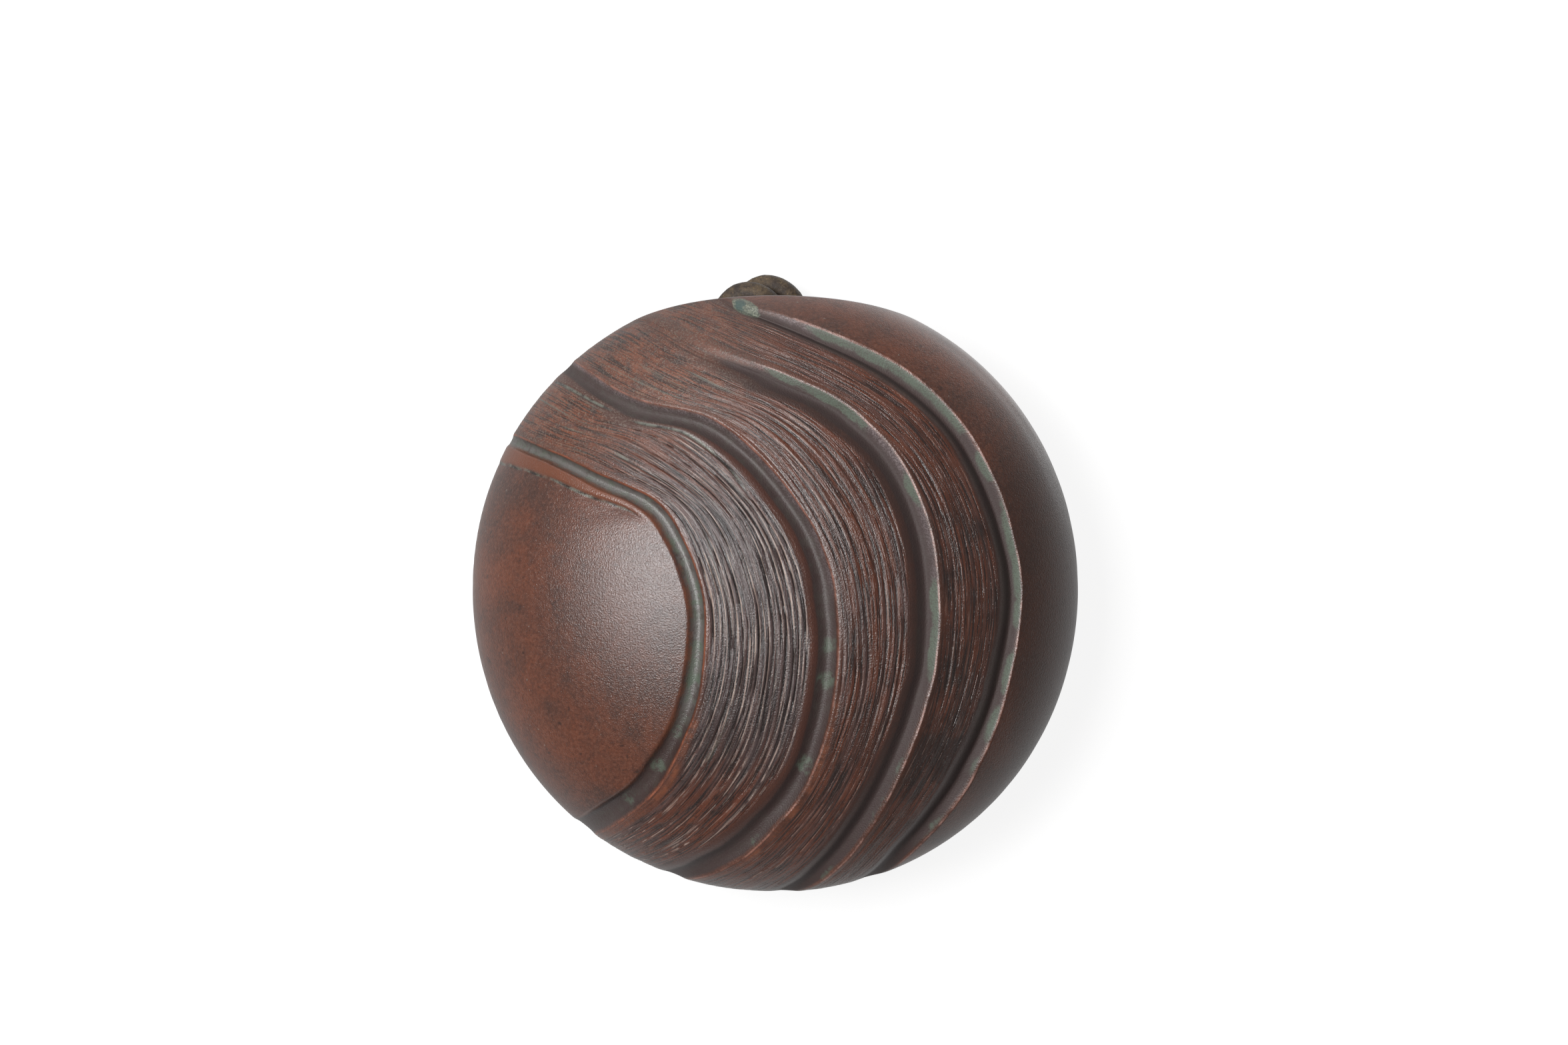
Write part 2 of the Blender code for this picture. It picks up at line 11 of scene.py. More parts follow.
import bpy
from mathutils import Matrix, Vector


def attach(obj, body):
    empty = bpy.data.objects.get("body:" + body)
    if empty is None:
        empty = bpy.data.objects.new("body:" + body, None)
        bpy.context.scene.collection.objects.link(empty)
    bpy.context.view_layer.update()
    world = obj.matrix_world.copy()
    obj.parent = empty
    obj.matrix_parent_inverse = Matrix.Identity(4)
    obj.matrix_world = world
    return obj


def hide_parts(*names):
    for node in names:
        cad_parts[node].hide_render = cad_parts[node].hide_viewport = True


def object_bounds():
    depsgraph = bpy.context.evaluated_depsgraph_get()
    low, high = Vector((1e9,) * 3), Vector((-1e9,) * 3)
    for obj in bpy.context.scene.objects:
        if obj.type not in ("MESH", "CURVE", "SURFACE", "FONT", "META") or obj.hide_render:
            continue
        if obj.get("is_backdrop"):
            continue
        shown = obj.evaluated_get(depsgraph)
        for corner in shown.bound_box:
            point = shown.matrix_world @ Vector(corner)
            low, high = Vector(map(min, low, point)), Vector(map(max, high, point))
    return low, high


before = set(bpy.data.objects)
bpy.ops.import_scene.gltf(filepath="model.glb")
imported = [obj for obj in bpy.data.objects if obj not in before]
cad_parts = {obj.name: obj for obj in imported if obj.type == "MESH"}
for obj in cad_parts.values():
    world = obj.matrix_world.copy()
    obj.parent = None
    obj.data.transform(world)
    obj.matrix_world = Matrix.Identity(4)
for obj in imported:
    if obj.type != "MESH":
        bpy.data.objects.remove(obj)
cad_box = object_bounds()
print("solids:", sorted(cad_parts))

# %% [markdown]
# Blender's own modules build the new pieces, and numpy does the arithmetic for many
# points at once. All lengths are in metres, as in Blender, and mostly written in
# millimetres.

# %% Modules
import math

import bmesh
import bpy
import numpy as np
from mathutils import Vector

MM = 0.001
print("Blender", bpy.app.version_string)

# %% [markdown]
# ## The camera
#
# The photograph looks square at the front. Its frame takes in 360 mm at the depth
# of the vase's widest line, and the vase sits a little left of the middle and
# below it. A lens of 95 mm on a 36 mm sensor then stands just under a metre away,
# which keeps the dome's edges from turning out of sight.

# %% Camera
FRAME_WIDTH = 360.6 * MM
LENS = 95.0
SENSOR = 36.0
VIEW_AXIS = (2.5 * MM, 16.7 * MM)
WIDEST_Y = -29.0 * MM

away = FRAME_WIDTH * LENS / SENSOR
bpy.ops.object.select_all(action="DESELECT")
bpy.ops.object.camera_add(location=(VIEW_AXIS[0], WIDEST_Y - away, VIEW_AXIS[1]),
                          rotation=(math.radians(90), 0, 0))
camera = bpy.context.object
camera.name = "camera"
camera.data.lens = LENS
camera.data.sensor_width = SENSOR
bpy.context.scene.camera = camera
print(f"camera {away:.3f} m from the widest line")

# %% [markdown]
# ## The vase's own measures
#
# The potter's form is a pebble: an outline a little out of round, a shallow dome in
# front of its widest line, and a skin that draws in behind that line to the wall.
# These are the solids' measures, because the new skin has to lie on them. The
# pebble is written as a formula of two angles: one goes round the front view, and
# the other, "roll", runs from the dome's pole over the widest line to the back.

# %% Pebble
HALF_WIDTH = 69.7 * MM
TOP_SWELL = 1.35 * MM
SIDE_SWELL = 0.5 * MM
SHOULDER_SWELL = 0.22 * MM
FRONT_DEPTH = 37.0 * MM
BACK_DEPTH = 29.0 * MM
TUCK = 20.0 * MM
SKIN_SINK = 0.15 * MM  # keeps the dense skin inside the coarser solid's box


def outline_radius(angle):
    """The outline in the front view, for one angle or an array of them."""
    return (HALF_WIDTH + TOP_SWELL * np.sin(angle) + SIDE_SWELL * np.cos(angle)
            + SHOULDER_SWELL * (1 - np.cos(4 * angle)))


def pebble(angle, roll, inset=0.0):
    """Points of the skin, or of the same form drawn in by inset."""
    radius = outline_radius(angle)
    front = roll <= np.pi / 2
    out = np.where(front, (radius - inset) * np.sin(roll),
                   radius - TUCK + (TUCK - inset) * np.sin(roll))
    depth = np.where(front, FRONT_DEPTH, BACK_DEPTH) - inset
    y = -BACK_DEPTH - depth * np.cos(roll)
    return np.stack([out * np.cos(angle), y, out * np.sin(angle)], axis=-1)


def skin(angle, roll):
    return pebble(angle, roll, SKIN_SINK)


print("outline at the top:", round(float(outline_radius(np.pi / 2)) / MM, 1), "mm")

# %% [markdown]
# ## Where the skin ends
#
# Three planes trim the pebble: the mouth, which falls towards the wall, the upper
# back, which leans forward to make room for the cord, and the back slab's front.
# The skin stops just short of the slab, at the joint where the two were luted.

# %% Trimming planes
SHELL_WALL = 6.0 * MM
LIP_WALL = 4.2 * MM
LIP_TAPER = 12.0 * MM
SLAB_WALL = 4.5 * MM
SEAM = 0.3 * MM
EDGE_ROUND = 0.8 * MM
LIP_DROP = 2.25 * MM
MOUTH_TILT = math.radians(29.6)
REAR_LIP_SET = 15.0 * MM
BACK_LEAN = math.radians(18.5)

top = float(outline_radius(np.pi / 2))
front_lip_z = top - LIP_DROP
front_lip_y = -BACK_DEPTH - FRONT_DEPTH * math.sqrt(1 - (front_lip_z / top) ** 2)
FRONT_LIP = np.array([0, front_lip_y, front_lip_z])
MOUTH_NORMAL = np.array([0, math.sin(MOUTH_TILT), math.cos(MOUTH_TILT)])
rear_lip_z = front_lip_z - (-REAR_LIP_SET - front_lip_y) * math.tan(MOUTH_TILT)
REAR_LIP = np.array([0, -REAR_LIP_SET, rear_lip_z])
LEAN_NORMAL = np.array([0, math.cos(BACK_LEAN), math.sin(BACK_LEAN)])
LEAN_UP = np.array([0, -math.sin(BACK_LEAN), math.cos(BACK_LEAN)])
print("front lip at", np.round(FRONT_LIP / MM, 1), "rear lip at", np.round(REAR_LIP / MM, 1))

# %% [markdown]
# How far a point is from the planes says where each surface ends. The edge is found
# by halving: a roll that is still inside moves the low end up, and one that is
# outside moves the high end down.

# %% Edges of the skin and its lining
HALVINGS = 36


def smooth_share(share):
    """A share held from 0 to 1, with a soft start and a soft end."""
    share = np.clip(share, 0, 1)
    return share * share * (3 - 2 * share)


def below_mouth(points):
    return -(points - FRONT_LIP) @ MOUTH_NORMAL


def room(points):
    """How far points are from the planes that end the shell."""
    before_wall = -SLAB_WALL - SEAM - points[..., 1]
    before_lean = -(points - REAR_LIP) @ LEAN_NORMAL - SLAB_WALL - SEAM
    return np.minimum(np.minimum(before_wall, before_lean), below_mouth(points))


def lining(angle, roll):
    """The shell's inner face, where the wall thins towards the lip."""
    share = smooth_share(below_mouth(pebble(angle, roll)) / LIP_TAPER)
    return pebble(angle, roll, LIP_WALL + (SHELL_WALL - LIP_WALL) * share)


def edge_roll(surface, angle, margin):
    """The roll at which a surface comes within margin of the planes."""
    low = np.zeros_like(angle)
    high = np.full_like(angle, np.pi)
    for _ in range(HALVINGS):
        middle = (low + high) / 2
        inside = room(surface(angle, middle)) > margin
        low = np.where(inside, middle, low)
        high = np.where(inside, high, middle)
    return low


EDGE_ANGLES = np.linspace(-np.pi, np.pi, 721)
SKIN_EDGE = edge_roll(skin, EDGE_ANGLES, EDGE_ROUND)
LINING_EDGE = edge_roll(lining, EDGE_ANGLES, EDGE_ROUND)
print("the skin ends", [round(math.degrees(f(SKIN_EDGE))) for f in (np.min, np.max)],
      "degrees from the dome's pole")

# %% [markdown]
# ## Smooth curves
#
# The grooves, and later the cord, run through a few given points. A centripetal
# spline passes through every one of them and makes no loops where they lie close.

# %% Smooth curves
SPLINE_STEPS = 24


def between(t, t0, t1, first, second):
    """The point at t on the line that passes first at t0 and second at t1."""
    return (t1 - t) / (t1 - t0) * first + (t - t0) / (t1 - t0) * second


def smooth_curve(points, count, drift=0.0):
    """Points on a centripetal spline through the given ones, evenly spaced without drift."""
    p = np.array(points, float)
    p = np.vstack([2 * p[0] - p[1], p, 2 * p[-1] - p[-2]])
    dense = []
    for a, b, c, d in zip(p[:-3], p[1:-2], p[2:-1], p[3:]):
        t0 = 0.0
        t1 = t0 + math.sqrt(np.linalg.norm(b - a))
        t2 = t1 + math.sqrt(np.linalg.norm(c - b))
        t3 = t2 + math.sqrt(np.linalg.norm(d - c))
        for t in np.linspace(t1, t2, SPLINE_STEPS, endpoint=False):
            ab, bc = between(t, t0, t1, a, b), between(t, t1, t2, b, c)
            cd = between(t, t2, t3, c, d)
            abc, bcd = between(t, t0, t2, ab, bc), between(t, t1, t3, bc, cd)
            dense.append(between(t, t1, t2, abc, bcd))
    dense = np.array(dense + [p[-2]])
    along = np.concatenate([[0], np.cumsum(np.linalg.norm(np.diff(dense, axis=0), axis=1))])
    share = np.linspace(0, 1, count)
    at = along[-1] * (share + drift / (2 * np.pi) * np.sin(2 * np.pi * share))
    return np.stack([np.interp(at, along, dense[:, k]) for k in range(p.shape[1])], axis=1)


print("middle of an arch:", smooth_curve([(0, 0), (1, 1), (2, 1), (3, 0)], 3)[1].round(2))

# %% [markdown]
# ## The lines of the grooves
#
# A potter cuts such grooves with a loop tool in one long pull each, from the upper
# left edge over the front to the bottom. So the mesh follows them: a mesh whose
# columns run along the grooves can carry a crisp edge with few faces, where a plain
# grid would need a hundred times more and still show steps.
#
# Each line is drawn through a few measured places, as hundredths of the half
# width. They're joined in a flat chart of the skin, so that a line runs on over the
# widest line without a kink.

# %% Groove lines
ROWS = 225
ROW_DRIFT = 0.3  # crowds the rows towards the middle of each line, on the front
GROOVES = (
    (150, ((-83.2, 49.9), (-59.8, 39.3), (-37.0, 27.0), (-26.8, 6.9), (-24.1, -11.0),
           (-28.6, -36.7), (-40.5, -58.7), (-62.3, -76.3)), 231),
    (132, ((-65.1, 74.0), (-47.1, 62.8), (-21.1, 55.8), (-2.0, 39.7), (14.9, 11.2),
           (17.6, -26.1), (8.6, -58.2), (-10.8, -81.6), (-30.6, -92.5)), 246),
    (117, ((-23.7, 80.8), (-2.0, 71.9), (19.4, 61.7), (38.5, 43.0), (49.1, 16.4),
           (50.1, -17.6), (40.6, -52.1), (20.7, -86.4), (9.9, -96.0)), 264),
    (100, ((-9.8, 94.0), (15.1, 84.6), (40.9, 71.2), (60.3, 52.8), (74.2, 24.8),
           (78.5, -1.0), (73.5, -31.0), (62.7, -58.1), (41.3, -86.1)), 278),
)
LEFT_SIDE = (165, 215)
RIGHT_SIDE = (84, -68)


def chart(angle, roll):
    """Places in the flat chart: the roll, laid out along the angle."""
    return np.stack([roll * np.cos(angle), roll * np.sin(angle)], axis=-1)


def angle_and_roll(places):
    return np.arctan2(places[..., 1], places[..., 0]), np.hypot(places[..., 0], places[..., 1])


def on_edge(degrees):
    angle = np.radians((np.asarray(degrees, float) + 180) % 360 - 180)
    return chart(angle, np.interp(angle, EDGE_ANGLES, SKIN_EDGE))


def on_front(x, z):
    angle = math.atan2(z, x)
    share = math.hypot(x, z) / 100 * HALF_WIDTH / float(outline_radius(angle))
    return chart(angle, math.asin(min(share, 0.995)))  # never quite on the widest line


curves = [on_edge(np.linspace(*LEFT_SIDE, ROWS))]
for begin, points, end in GROOVES:
    route = [on_edge(begin)] + [on_front(x, z) for x, z in points] + [on_edge(end)]
    curves.append(smooth_curve(route, ROWS, ROW_DRIFT))
curves.append(on_edge(np.linspace(*RIGHT_SIDE, ROWS)))
print("groove lines:", len(GROOVES), "with", ROWS, "rows")

# %% [markdown]
# ## Columns
#
# Columns lie close where the shape changes fast: a quarter of a millimetre apart
# beside the grooves and little more in the combed bands, but two or three
# millimetres apart on the plain dish at the left and the plain rim at the right.

# %% Columns across the skin
NEAR_STEP = 0.24 * MM
NEAR_REACH = 4.4 * MM
BETWEEN = (34, 76, 44, 34, 24)  # plain columns in each stretch
WIDTH_STEP = 0.02  # share of a band over which its scale is measured at a groove
CROWDING = 1.6  # the dish's and the rim's columns crowd towards the nearest groove

near = np.arange(NEAR_STEP, NEAR_REACH, NEAR_STEP)
share_of_row = np.linspace(0, 1, ROWS)
bands = len(BETWEEN)
print("bands:", bands, "with", len(near), "close columns on each side of a groove")

# %% [markdown]
# A column is a share of the way from one curve to the next, row by row. Close to a
# groove it keeps its distance in millimetres, so its share changes along the groove.

# %% Place the columns
widths = []
column_places = []
column_band = []
column_share = []


def width_from(place, across):
    """A band's whole width, by the skin's scale just inside one of its curves."""
    step = skin(*angle_and_roll(place + across * WIDTH_STEP)) - skin(*angle_and_roll(place))
    return np.linalg.norm(step, axis=1) / WIDTH_STEP


def add_column(band, share):
    left, right = curves[band], curves[band + 1]
    column_places.append(left + (right - left) * share[:, None])
    column_band.append(band)
    column_share.append(share)


for band, count in enumerate(BETWEEN):
    left, right = curves[band], curves[band + 1]
    span = skin(*angle_and_roll(right)) - skin(*angle_and_roll(left))
    widths.append(np.linalg.norm(span, axis=1))
    left_width, right_width = width_from(left, right - left), width_from(right, left - right)
    first, last = band == 0, band == bands - 1
    reach_left = np.zeros(ROWS) if first else NEAR_REACH / left_width
    reach_right = np.zeros(ROWS) if last else NEAR_REACH / right_width
    add_column(band, np.zeros(ROWS))
    if not first:
        for offset in near:
            add_column(band, offset / left_width)
    for i in range(count):
        share = (i + 1) / (count + 1)
        if first:
            share = 1 - (1 - share) ** CROWDING
        if last:
            share = share ** CROWDING
        add_column(band, reach_left + share * (1 - reach_left - reach_right))
    if not last:
        for offset in near[::-1]:
            add_column(band, 1 - offset / right_width)
add_column(bands - 1, np.ones(ROWS))
places = np.array(column_places)
COLUMNS = len(places)
print("grid:", COLUMNS, "columns by", ROWS, "rows")

# %% [markdown]
# The first and last rows have to lie on the skin's edge, where the chart's straight
# rungs between two curves don't quite reach. Each column is drawn out to the edge
# at its ends, and the pull fades over a fifth of its length.

# %% Draw the columns out to the edge
END_PULL = 0.2

for end, fading in ((0, share_of_row), (-1, 1 - share_of_row)):
    angle, roll = angle_and_roll(places[:, end])
    pull = np.interp(angle, EDGE_ANGLES, SKIN_EDGE) / roll - 1
    places *= (1 + pull[:, None] * np.clip(1 - fading / END_PULL, 0, 1)[None] ** 2)[..., None]
    print(f"drawn out by at most {100 * np.abs(pull).max():.1f} %")

# %% [markdown]
# ## Grain
#
# Comb marks, clouds in the glaze and the wobble of a hand-cut edge all need a smooth
# random field. This one blends a table of seeded random numbers, so it comes out
# the same each time. Stretched far along the grooves and little across them, its
# bands become the long broken lines that a toothed rib leaves in soft clay.

# %% A smooth random field
TABLE = 256


def field(u, v, seed):
    """Smooth noise from 0 to 1 at points (u, v)."""
    table = np.random.default_rng(seed).random((TABLE, TABLE))
    iu, iv = np.floor(u).astype(int), np.floor(v).astype(int)
    fu, fv = smooth_share(u - iu), smooth_share(v - iv)

    def corner(du, dv):
        return table[(iu + du) % TABLE, (iv + dv) % TABLE]

    low = corner(0, 0) * (1 - fu) + corner(1, 0) * fu
    high = corner(0, 1) * (1 - fu) + corner(1, 1) * fu
    return low * (1 - fv) + high * fv


print("a random field:", field(np.arange(5) / 2, np.zeros(5), 1).round(2))

# %% [markdown]
# The grain has its own coordinates, in millimetres: across the bands and along the
# grooves. Across is counted at the middle row, so that the comb lines draw together
# where the bands narrow towards the upper left, as the tool's did.

# %% Grain coordinates
middle = ROWS // 2
middle_widths = np.array([w[middle] for w in widths]) / MM
band_start = np.concatenate([[0], np.cumsum(middle_widths)])
share = np.array(column_share)
band_of = np.array(column_band)
across = band_start[band_of][:, None] + share * middle_widths[band_of][:, None]
angle, roll = angle_and_roll(places)
flat_skin = skin(angle, roll)
flat_x, flat_z = flat_skin[..., 0] / MM, flat_skin[..., 2] / MM
steps = np.linalg.norm(np.diff(flat_skin, axis=1), axis=2) / MM
along = np.concatenate([np.zeros((COLUMNS, 1)), np.cumsum(steps, axis=1)], axis=1)
along -= along[:, middle:middle + 1]
print("across", round(float(across.max())), "mm, along", round(float(np.ptp(along))), "mm")

# %% [markdown]
# ## Distances from the grooves
#
# A groove's section is drawn in millimetres from its centreline. The distance is
# summed up from column to column along each row, and shortened where the row
# crosses the groove at a slant.

# %% Distances from the grooves
first_column = [column_band.index(band) for band in range(bands)]
pace = np.linalg.norm(np.diff(flat_skin, axis=0), axis=2) / MM
run = np.concatenate([np.zeros((1, ROWS)), np.cumsum(pace, axis=0)])
beside = []
for g in range(len(GROOVES)):
    column = first_column[g + 1]
    ahead = np.gradient(flat_skin[column], axis=0)
    aside = flat_skin[column + 1] - flat_skin[column - 1]
    lengths = np.linalg.norm(ahead, axis=1) * np.linalg.norm(aside, axis=1)
    slant = np.linalg.norm(np.cross(ahead, aside), axis=1) / lengths
    beside.append((run - run[column]) * slant)
    least = math.degrees(math.asin(min(slant.min(), 1)))
    print("groove", g, "is crossed at", round(least), "degrees or more")


def beside_groove(g):
    """Whether a column lies in one of the two bands beside a groove."""
    return ((band_of == g) | (band_of == g + 1))[:, None]


def row_at(g, x, z):
    """The row whose place on a groove's line lies nearest to (x, z) mm on the front."""
    column = first_column[g + 1]
    far = np.hypot(flat_x[column] - x, flat_z[column] - z)
    return int(np.argmin(np.where(roll[column] < np.pi / 2, far, np.inf)))


def along_groove(g, stations, which):
    """A value for each row of a groove, from stations (x, z, values...) on its line."""
    rows = [row_at(g, *station[:2]) for station in stations]
    return np.interp(np.arange(ROWS), rows, [station[which] for station in stations])


def hill(distance, reach):
    """1 at no distance, and all but gone at twice the reach."""
    return np.exp(-(distance / reach) ** 2)


def spot(x, z, reach):
    """A round hill at the place (x, z) mm of the front."""
    return np.exp(-((flat_x - x) ** 2 + (flat_z - z) ** 2) / reach ** 2)


# %% [markdown]
# ## The relief
#
# All relief is cut into the pebble and nothing stands out of it. There are four
# layers:
#
# - the channel of each groove, whose left wall rolls in under the band and whose
#   right wall ends in a crisp edge
# - the fall of each band towards the next channel, like one wave over another
# - a few shallow folds beside the grooves, where the tool dragged the clay
# - the comb marks
#
# Each groove has its own section, as (offset, depth) in millimetres from the left
# shoulder to the right edge, and its own course: how much wider and deeper it runs
# at a few places (x, z) of the front.

# %% Sections and courses of the grooves
SECTIONS = (
    ((-2.2, 0.00), (-1.9, 0.15), (-1.6, 0.75), (-1.2, 1.50), (-0.7, 1.95), (0.0, 2.15),
     (0.6, 2.10), (1.1, 1.75), (1.5, 1.10), (1.8, 0.45), (2.0, 0.08), (2.15, 0.00)),
    ((-4.3, 0.00), (-3.4, 0.15), (-2.6, 0.60), (-2.0, 1.25), (-1.3, 1.95), (-0.7, 2.30),
     (0.0, 2.30), (0.7, 1.90), (1.3, 1.20), (1.8, 0.50), (2.05, 0.10), (2.2, 0.00)),
    ((-4.8, 0.00), (-3.9, 0.20), (-3.0, 0.65), (-2.2, 1.30), (-1.4, 1.95), (-0.7, 2.30),
     (-0.1, 2.20), (0.6, 1.65), (1.2, 1.00), (1.7, 0.35), (1.95, 0.08), (2.1, 0.00)),
    ((-4.4, 0.00), (-3.4, 0.30), (-2.4, 0.90), (-1.5, 1.55), (-0.7, 2.15), (0.0, 2.40),
     (0.6, 2.20), (1.2, 1.65), (1.7, 1.00), (2.1, 0.35), (2.3, 0.08), (2.45, 0.00)),
)
COURSES = (  # x, z, width, depth
    ((-58, 35, 0.75, 0.8), (-42, 27, 0.8, 0.9), (-26, 19, 0.9, 1.0), (-17, -3, 0.95, 1.0),
     (-20, -26, 1.1, 1.0), (-28, -41, 1.45, 1.0), (-41, -52, 1.55, 0.9)),
    ((-45, 51, 0.9, 0.6), (-33, 44, 0.9, 0.85), (-10, 38, 0.9, 1.0), (10, 8, 1.0, 1.0),
     (6, -40, 1.05, 1.0), (-8, -57, 1.2, 0.9)),
    ((-17, 56, 0.7, 0.12), (-6, 53, 0.8, 0.45), (6, 47, 0.9, 0.8), (18, 39, 1.0, 1.0),
     (34, 0, 1.0, 1.0), (28, -36, 1.0, 1.0), (8, -66, 1.0, 0.9)),
    ((-7, 65.5, 0.5, 0.3), (0, 62.5, 0.7, 0.6), (10, 59, 0.9, 0.9), (28, 50, 1.15, 1.0),
     (45, 30, 1.1, 1.0), (54, 0, 0.95, 1.0), (51, -22, 0.9, 1.0), (40, -44, 1.0, 1.0),
     (28, -60, 1.1, 0.9)),
)
print("stations along the grooves:", sum(len(course) for course in COURSES))

# %% [markdown]
# While the channels are cut, their parts are noted for the glaze, each as a share
# from 0 to 1: the channel itself, the strip up its right wall, the crisp edge that
# ends the wall, the rolled left shoulder, the sill below on the right, and the bare
# slope that the comb left before each channel. No hand pulls quite evenly, so each
# groove's width, depth and line waver a little.

# %% Channels and falling bands
SOFTENED = (-0.24, -0.08, 0.08, 0.24)  # the sections' corners are rounded over this width
WIDTH_WAVERS = (0.93, 0.14, 24)  # least share, spread, and waves in a groove's length
DEPTH_WAVERS = (0.92, 0.16, 15)
LINE_WOBBLE = 0.40
WOBBLE_LENGTH = 6
CHANNEL_FLOOR = 1.3  # a cut this deep has the channel's own glaze
EDGE_INSET = 0.15  # the crisp edge lies this far inside a section's right end
LIP_BAND = 0.30
STRIP_REACH = 2.6  # the right wall's strip begins this far before the edge
STRIP_FADES = (2.5, 0.3)
SHOULDER_SET = 0.5
SHOULDER_BAND = 0.9
ROLLED = (0.9, 0.45, 0.10, 0.0)  # how orange each groove's left shoulder is
SILL_SET = 0.8
SILL_BAND = 0.9
SILL_TOP = -12  # the height at which the sills begin
SILL_FADE = 18
SILLS = (1.0, 1.0, 0.35, 0.0)  # how far each groove's lower right edge is an orange sill
SLOPE_REACH = 0.55  # the comb was lifted this far before the next channel
SLOPE_FADE = 0.9
BAND_FALL = (0.0, 0.7, 0.8, 0.8)  # how far each band falls towards the next channel
FALL_FROM = 0.25
FALL_SPARES = 2.2  # a cut this deep falls no further


def wavering(wavers, lane, seed):
    """A share near 1 for each row of a groove."""
    least, spread, waves = wavers
    return least + spread * field(share_of_row * waves, share_of_row * 0 + lane, seed)


depth, fall, channel, wall_strip, lip, shoulder, slope, sill = np.zeros((8, COLUMNS, ROWS))
for g, (profile, course) in enumerate(zip(SECTIONS, COURSES)):
    wide = along_groove(g, course, 2) * wavering(WIDTH_WAVERS, 3 * g, 6)
    deep = along_groove(g, course, 3) * wavering(DEPTH_WAVERS, g, 5)
    wobble = LINE_WOBBLE * (field(along / WOBBLE_LENGTH, across * 0 + g, 7) - 0.5)
    offset = np.where(beside_groove(g), (beside[g] + wobble) / wide, np.inf)
    cuts = [np.interp(offset + d, *zip(*profile), left=0, right=0) for d in SOFTENED]
    cut = sum(cuts) / len(cuts) * deep
    begin, end = profile[0][0], profile[-1][0] - EDGE_INSET
    depth = np.maximum(depth, cut)
    channel = np.maximum(channel, smooth_share(cut / CHANNEL_FLOOR))
    shows = np.clip(deep * 1.4, 0, 1)
    strip = (smooth_share((offset - end + STRIP_REACH) / STRIP_FADES[0])
             * smooth_share((end - offset) / STRIP_FADES[1]) * shows)
    wall_strip = np.maximum(wall_strip, strip * (g > 0))
    lip = np.maximum(lip, hill((offset - end) * wide, LIP_BAND) * shows)
    rolled = hill((offset - begin - SHOULDER_SET) * wide, SHOULDER_BAND) * shows
    shoulder = np.maximum(shoulder, rolled * ROLLED[g])
    low_down = smooth_share((SILL_TOP - flat_z) / SILL_FADE) * SILLS[g]
    sill = np.maximum(sill, hill((offset - end - SILL_SET) * wide, SILL_BAND) * shows * low_down)
    bare = smooth_share((offset - begin + SLOPE_REACH) / SLOPE_FADE) * (offset < 0)
    slope = np.maximum(slope, bare * shows * (g > 0))
    falls = BAND_FALL[g] * smooth_share((share - FALL_FROM) / (1 - FALL_FROM))
    fall = fall + np.where((band_of == g)[:, None], falls, 0) * deep
depth = depth + fall * np.clip(1 - depth / FALL_SPARES, 0, 1)
print("deepest cut", round(float(depth.max()), 2), "mm")

# %% [markdown]
# The folds are written as: the groove they follow, the places (x, z) on its line
# beside which they begin and end, how far they lie from it there, how deep they
# are and how wide. The first, left of the first groove, is the foot of a ridge, and
# the dish has been pressed down a little beyond it.

# %% Folds beside the grooves
FOLDS = (
    (0, (-62, 37), (-24, 17), -6.4, -3.0, 0.50, 0.42),
    (0, (-48, 31), (-38, 26), 7.2, 7.2, 0.30, 0.40),
    (1, (-52, 57), (-28, 42), -5.0, -2.4, 0.50, 0.42),
    (1, (-30, 43), (5, 22), -2.2, -6.0, 0.32, 0.40),
)
FOLD_ENDS = 7  # rows over which a fold dies out
DISH_SINK = 0.45
DISH_REACH = 7.0
RIDGE_STOP = -1.2  # the ridge ends this far from the groove's line
RIDGE_FADES = (0.5, 0.8)

row_number = np.arange(ROWS)
dish = (band_of == 0)[:, None]
fold_lines = np.zeros((COLUMNS, ROWS))
for number, (g, begin, end, offset_begin, offset_end, sink, wide) in enumerate(FOLDS):
    rows = row_at(g, *begin), row_at(g, *end)
    offset = beside[g] - np.interp(row_number, rows, (offset_begin, offset_end))
    ends = (smooth_share((row_number - rows[0]) / FOLD_ENDS)
            * smooth_share((rows[1] - row_number) / FOLD_ENDS))
    shape = hill(offset, wide) * ends * beside_groove(g)
    depth = depth + sink * shape
    fold_lines = np.maximum(fold_lines, shape)
    if number == 0:
        pressed = np.where(offset < 0, hill(offset, DISH_REACH), 0) * dish
        depth = depth + DISH_SINK * pressed * ends
        ridge = (smooth_share(offset / RIDGE_FADES[0])
                 * smooth_share((RIDGE_STOP - beside[g]) / RIDGE_FADES[1]) * ends * dish)
print("folds:", len(FOLDS))

# %% [markdown]
# At the upper right a long crease runs just inside the rim, where the maker's hand
# turned the soft wall in.

# %% Crease along the rim
CREASE_ROLL = math.radians(77)
CREASE_WIDTH = math.radians(1.6)
CREASE_ANGLES = (math.radians(12), math.radians(64))
CREASE_FADE = 0.3
CREASE_SINK = 0.30

inside_ends = np.minimum(angle - CREASE_ANGLES[0], CREASE_ANGLES[1] - angle)
crease = hill(roll - CREASE_ROLL, CREASE_WIDTH) * smooth_share(inside_ends / CREASE_FADE)
depth = depth + CREASE_SINK * crease * (band_of == bands - 1)[:, None]
depth = np.maximum(depth, 0)
print("crease from", [round(math.degrees(end)) for end in CREASE_ANGLES], "degrees")

# %% [markdown]
# A toothed rib combed the three bands between the grooves, harder on the left than
# on the right. The comb gives way to the channels, stands clear of their crisp right
# edges and was lifted before their left slopes. The upper left is hardly combed, and
# towards the bottom the drag of the tool has torn the clay.

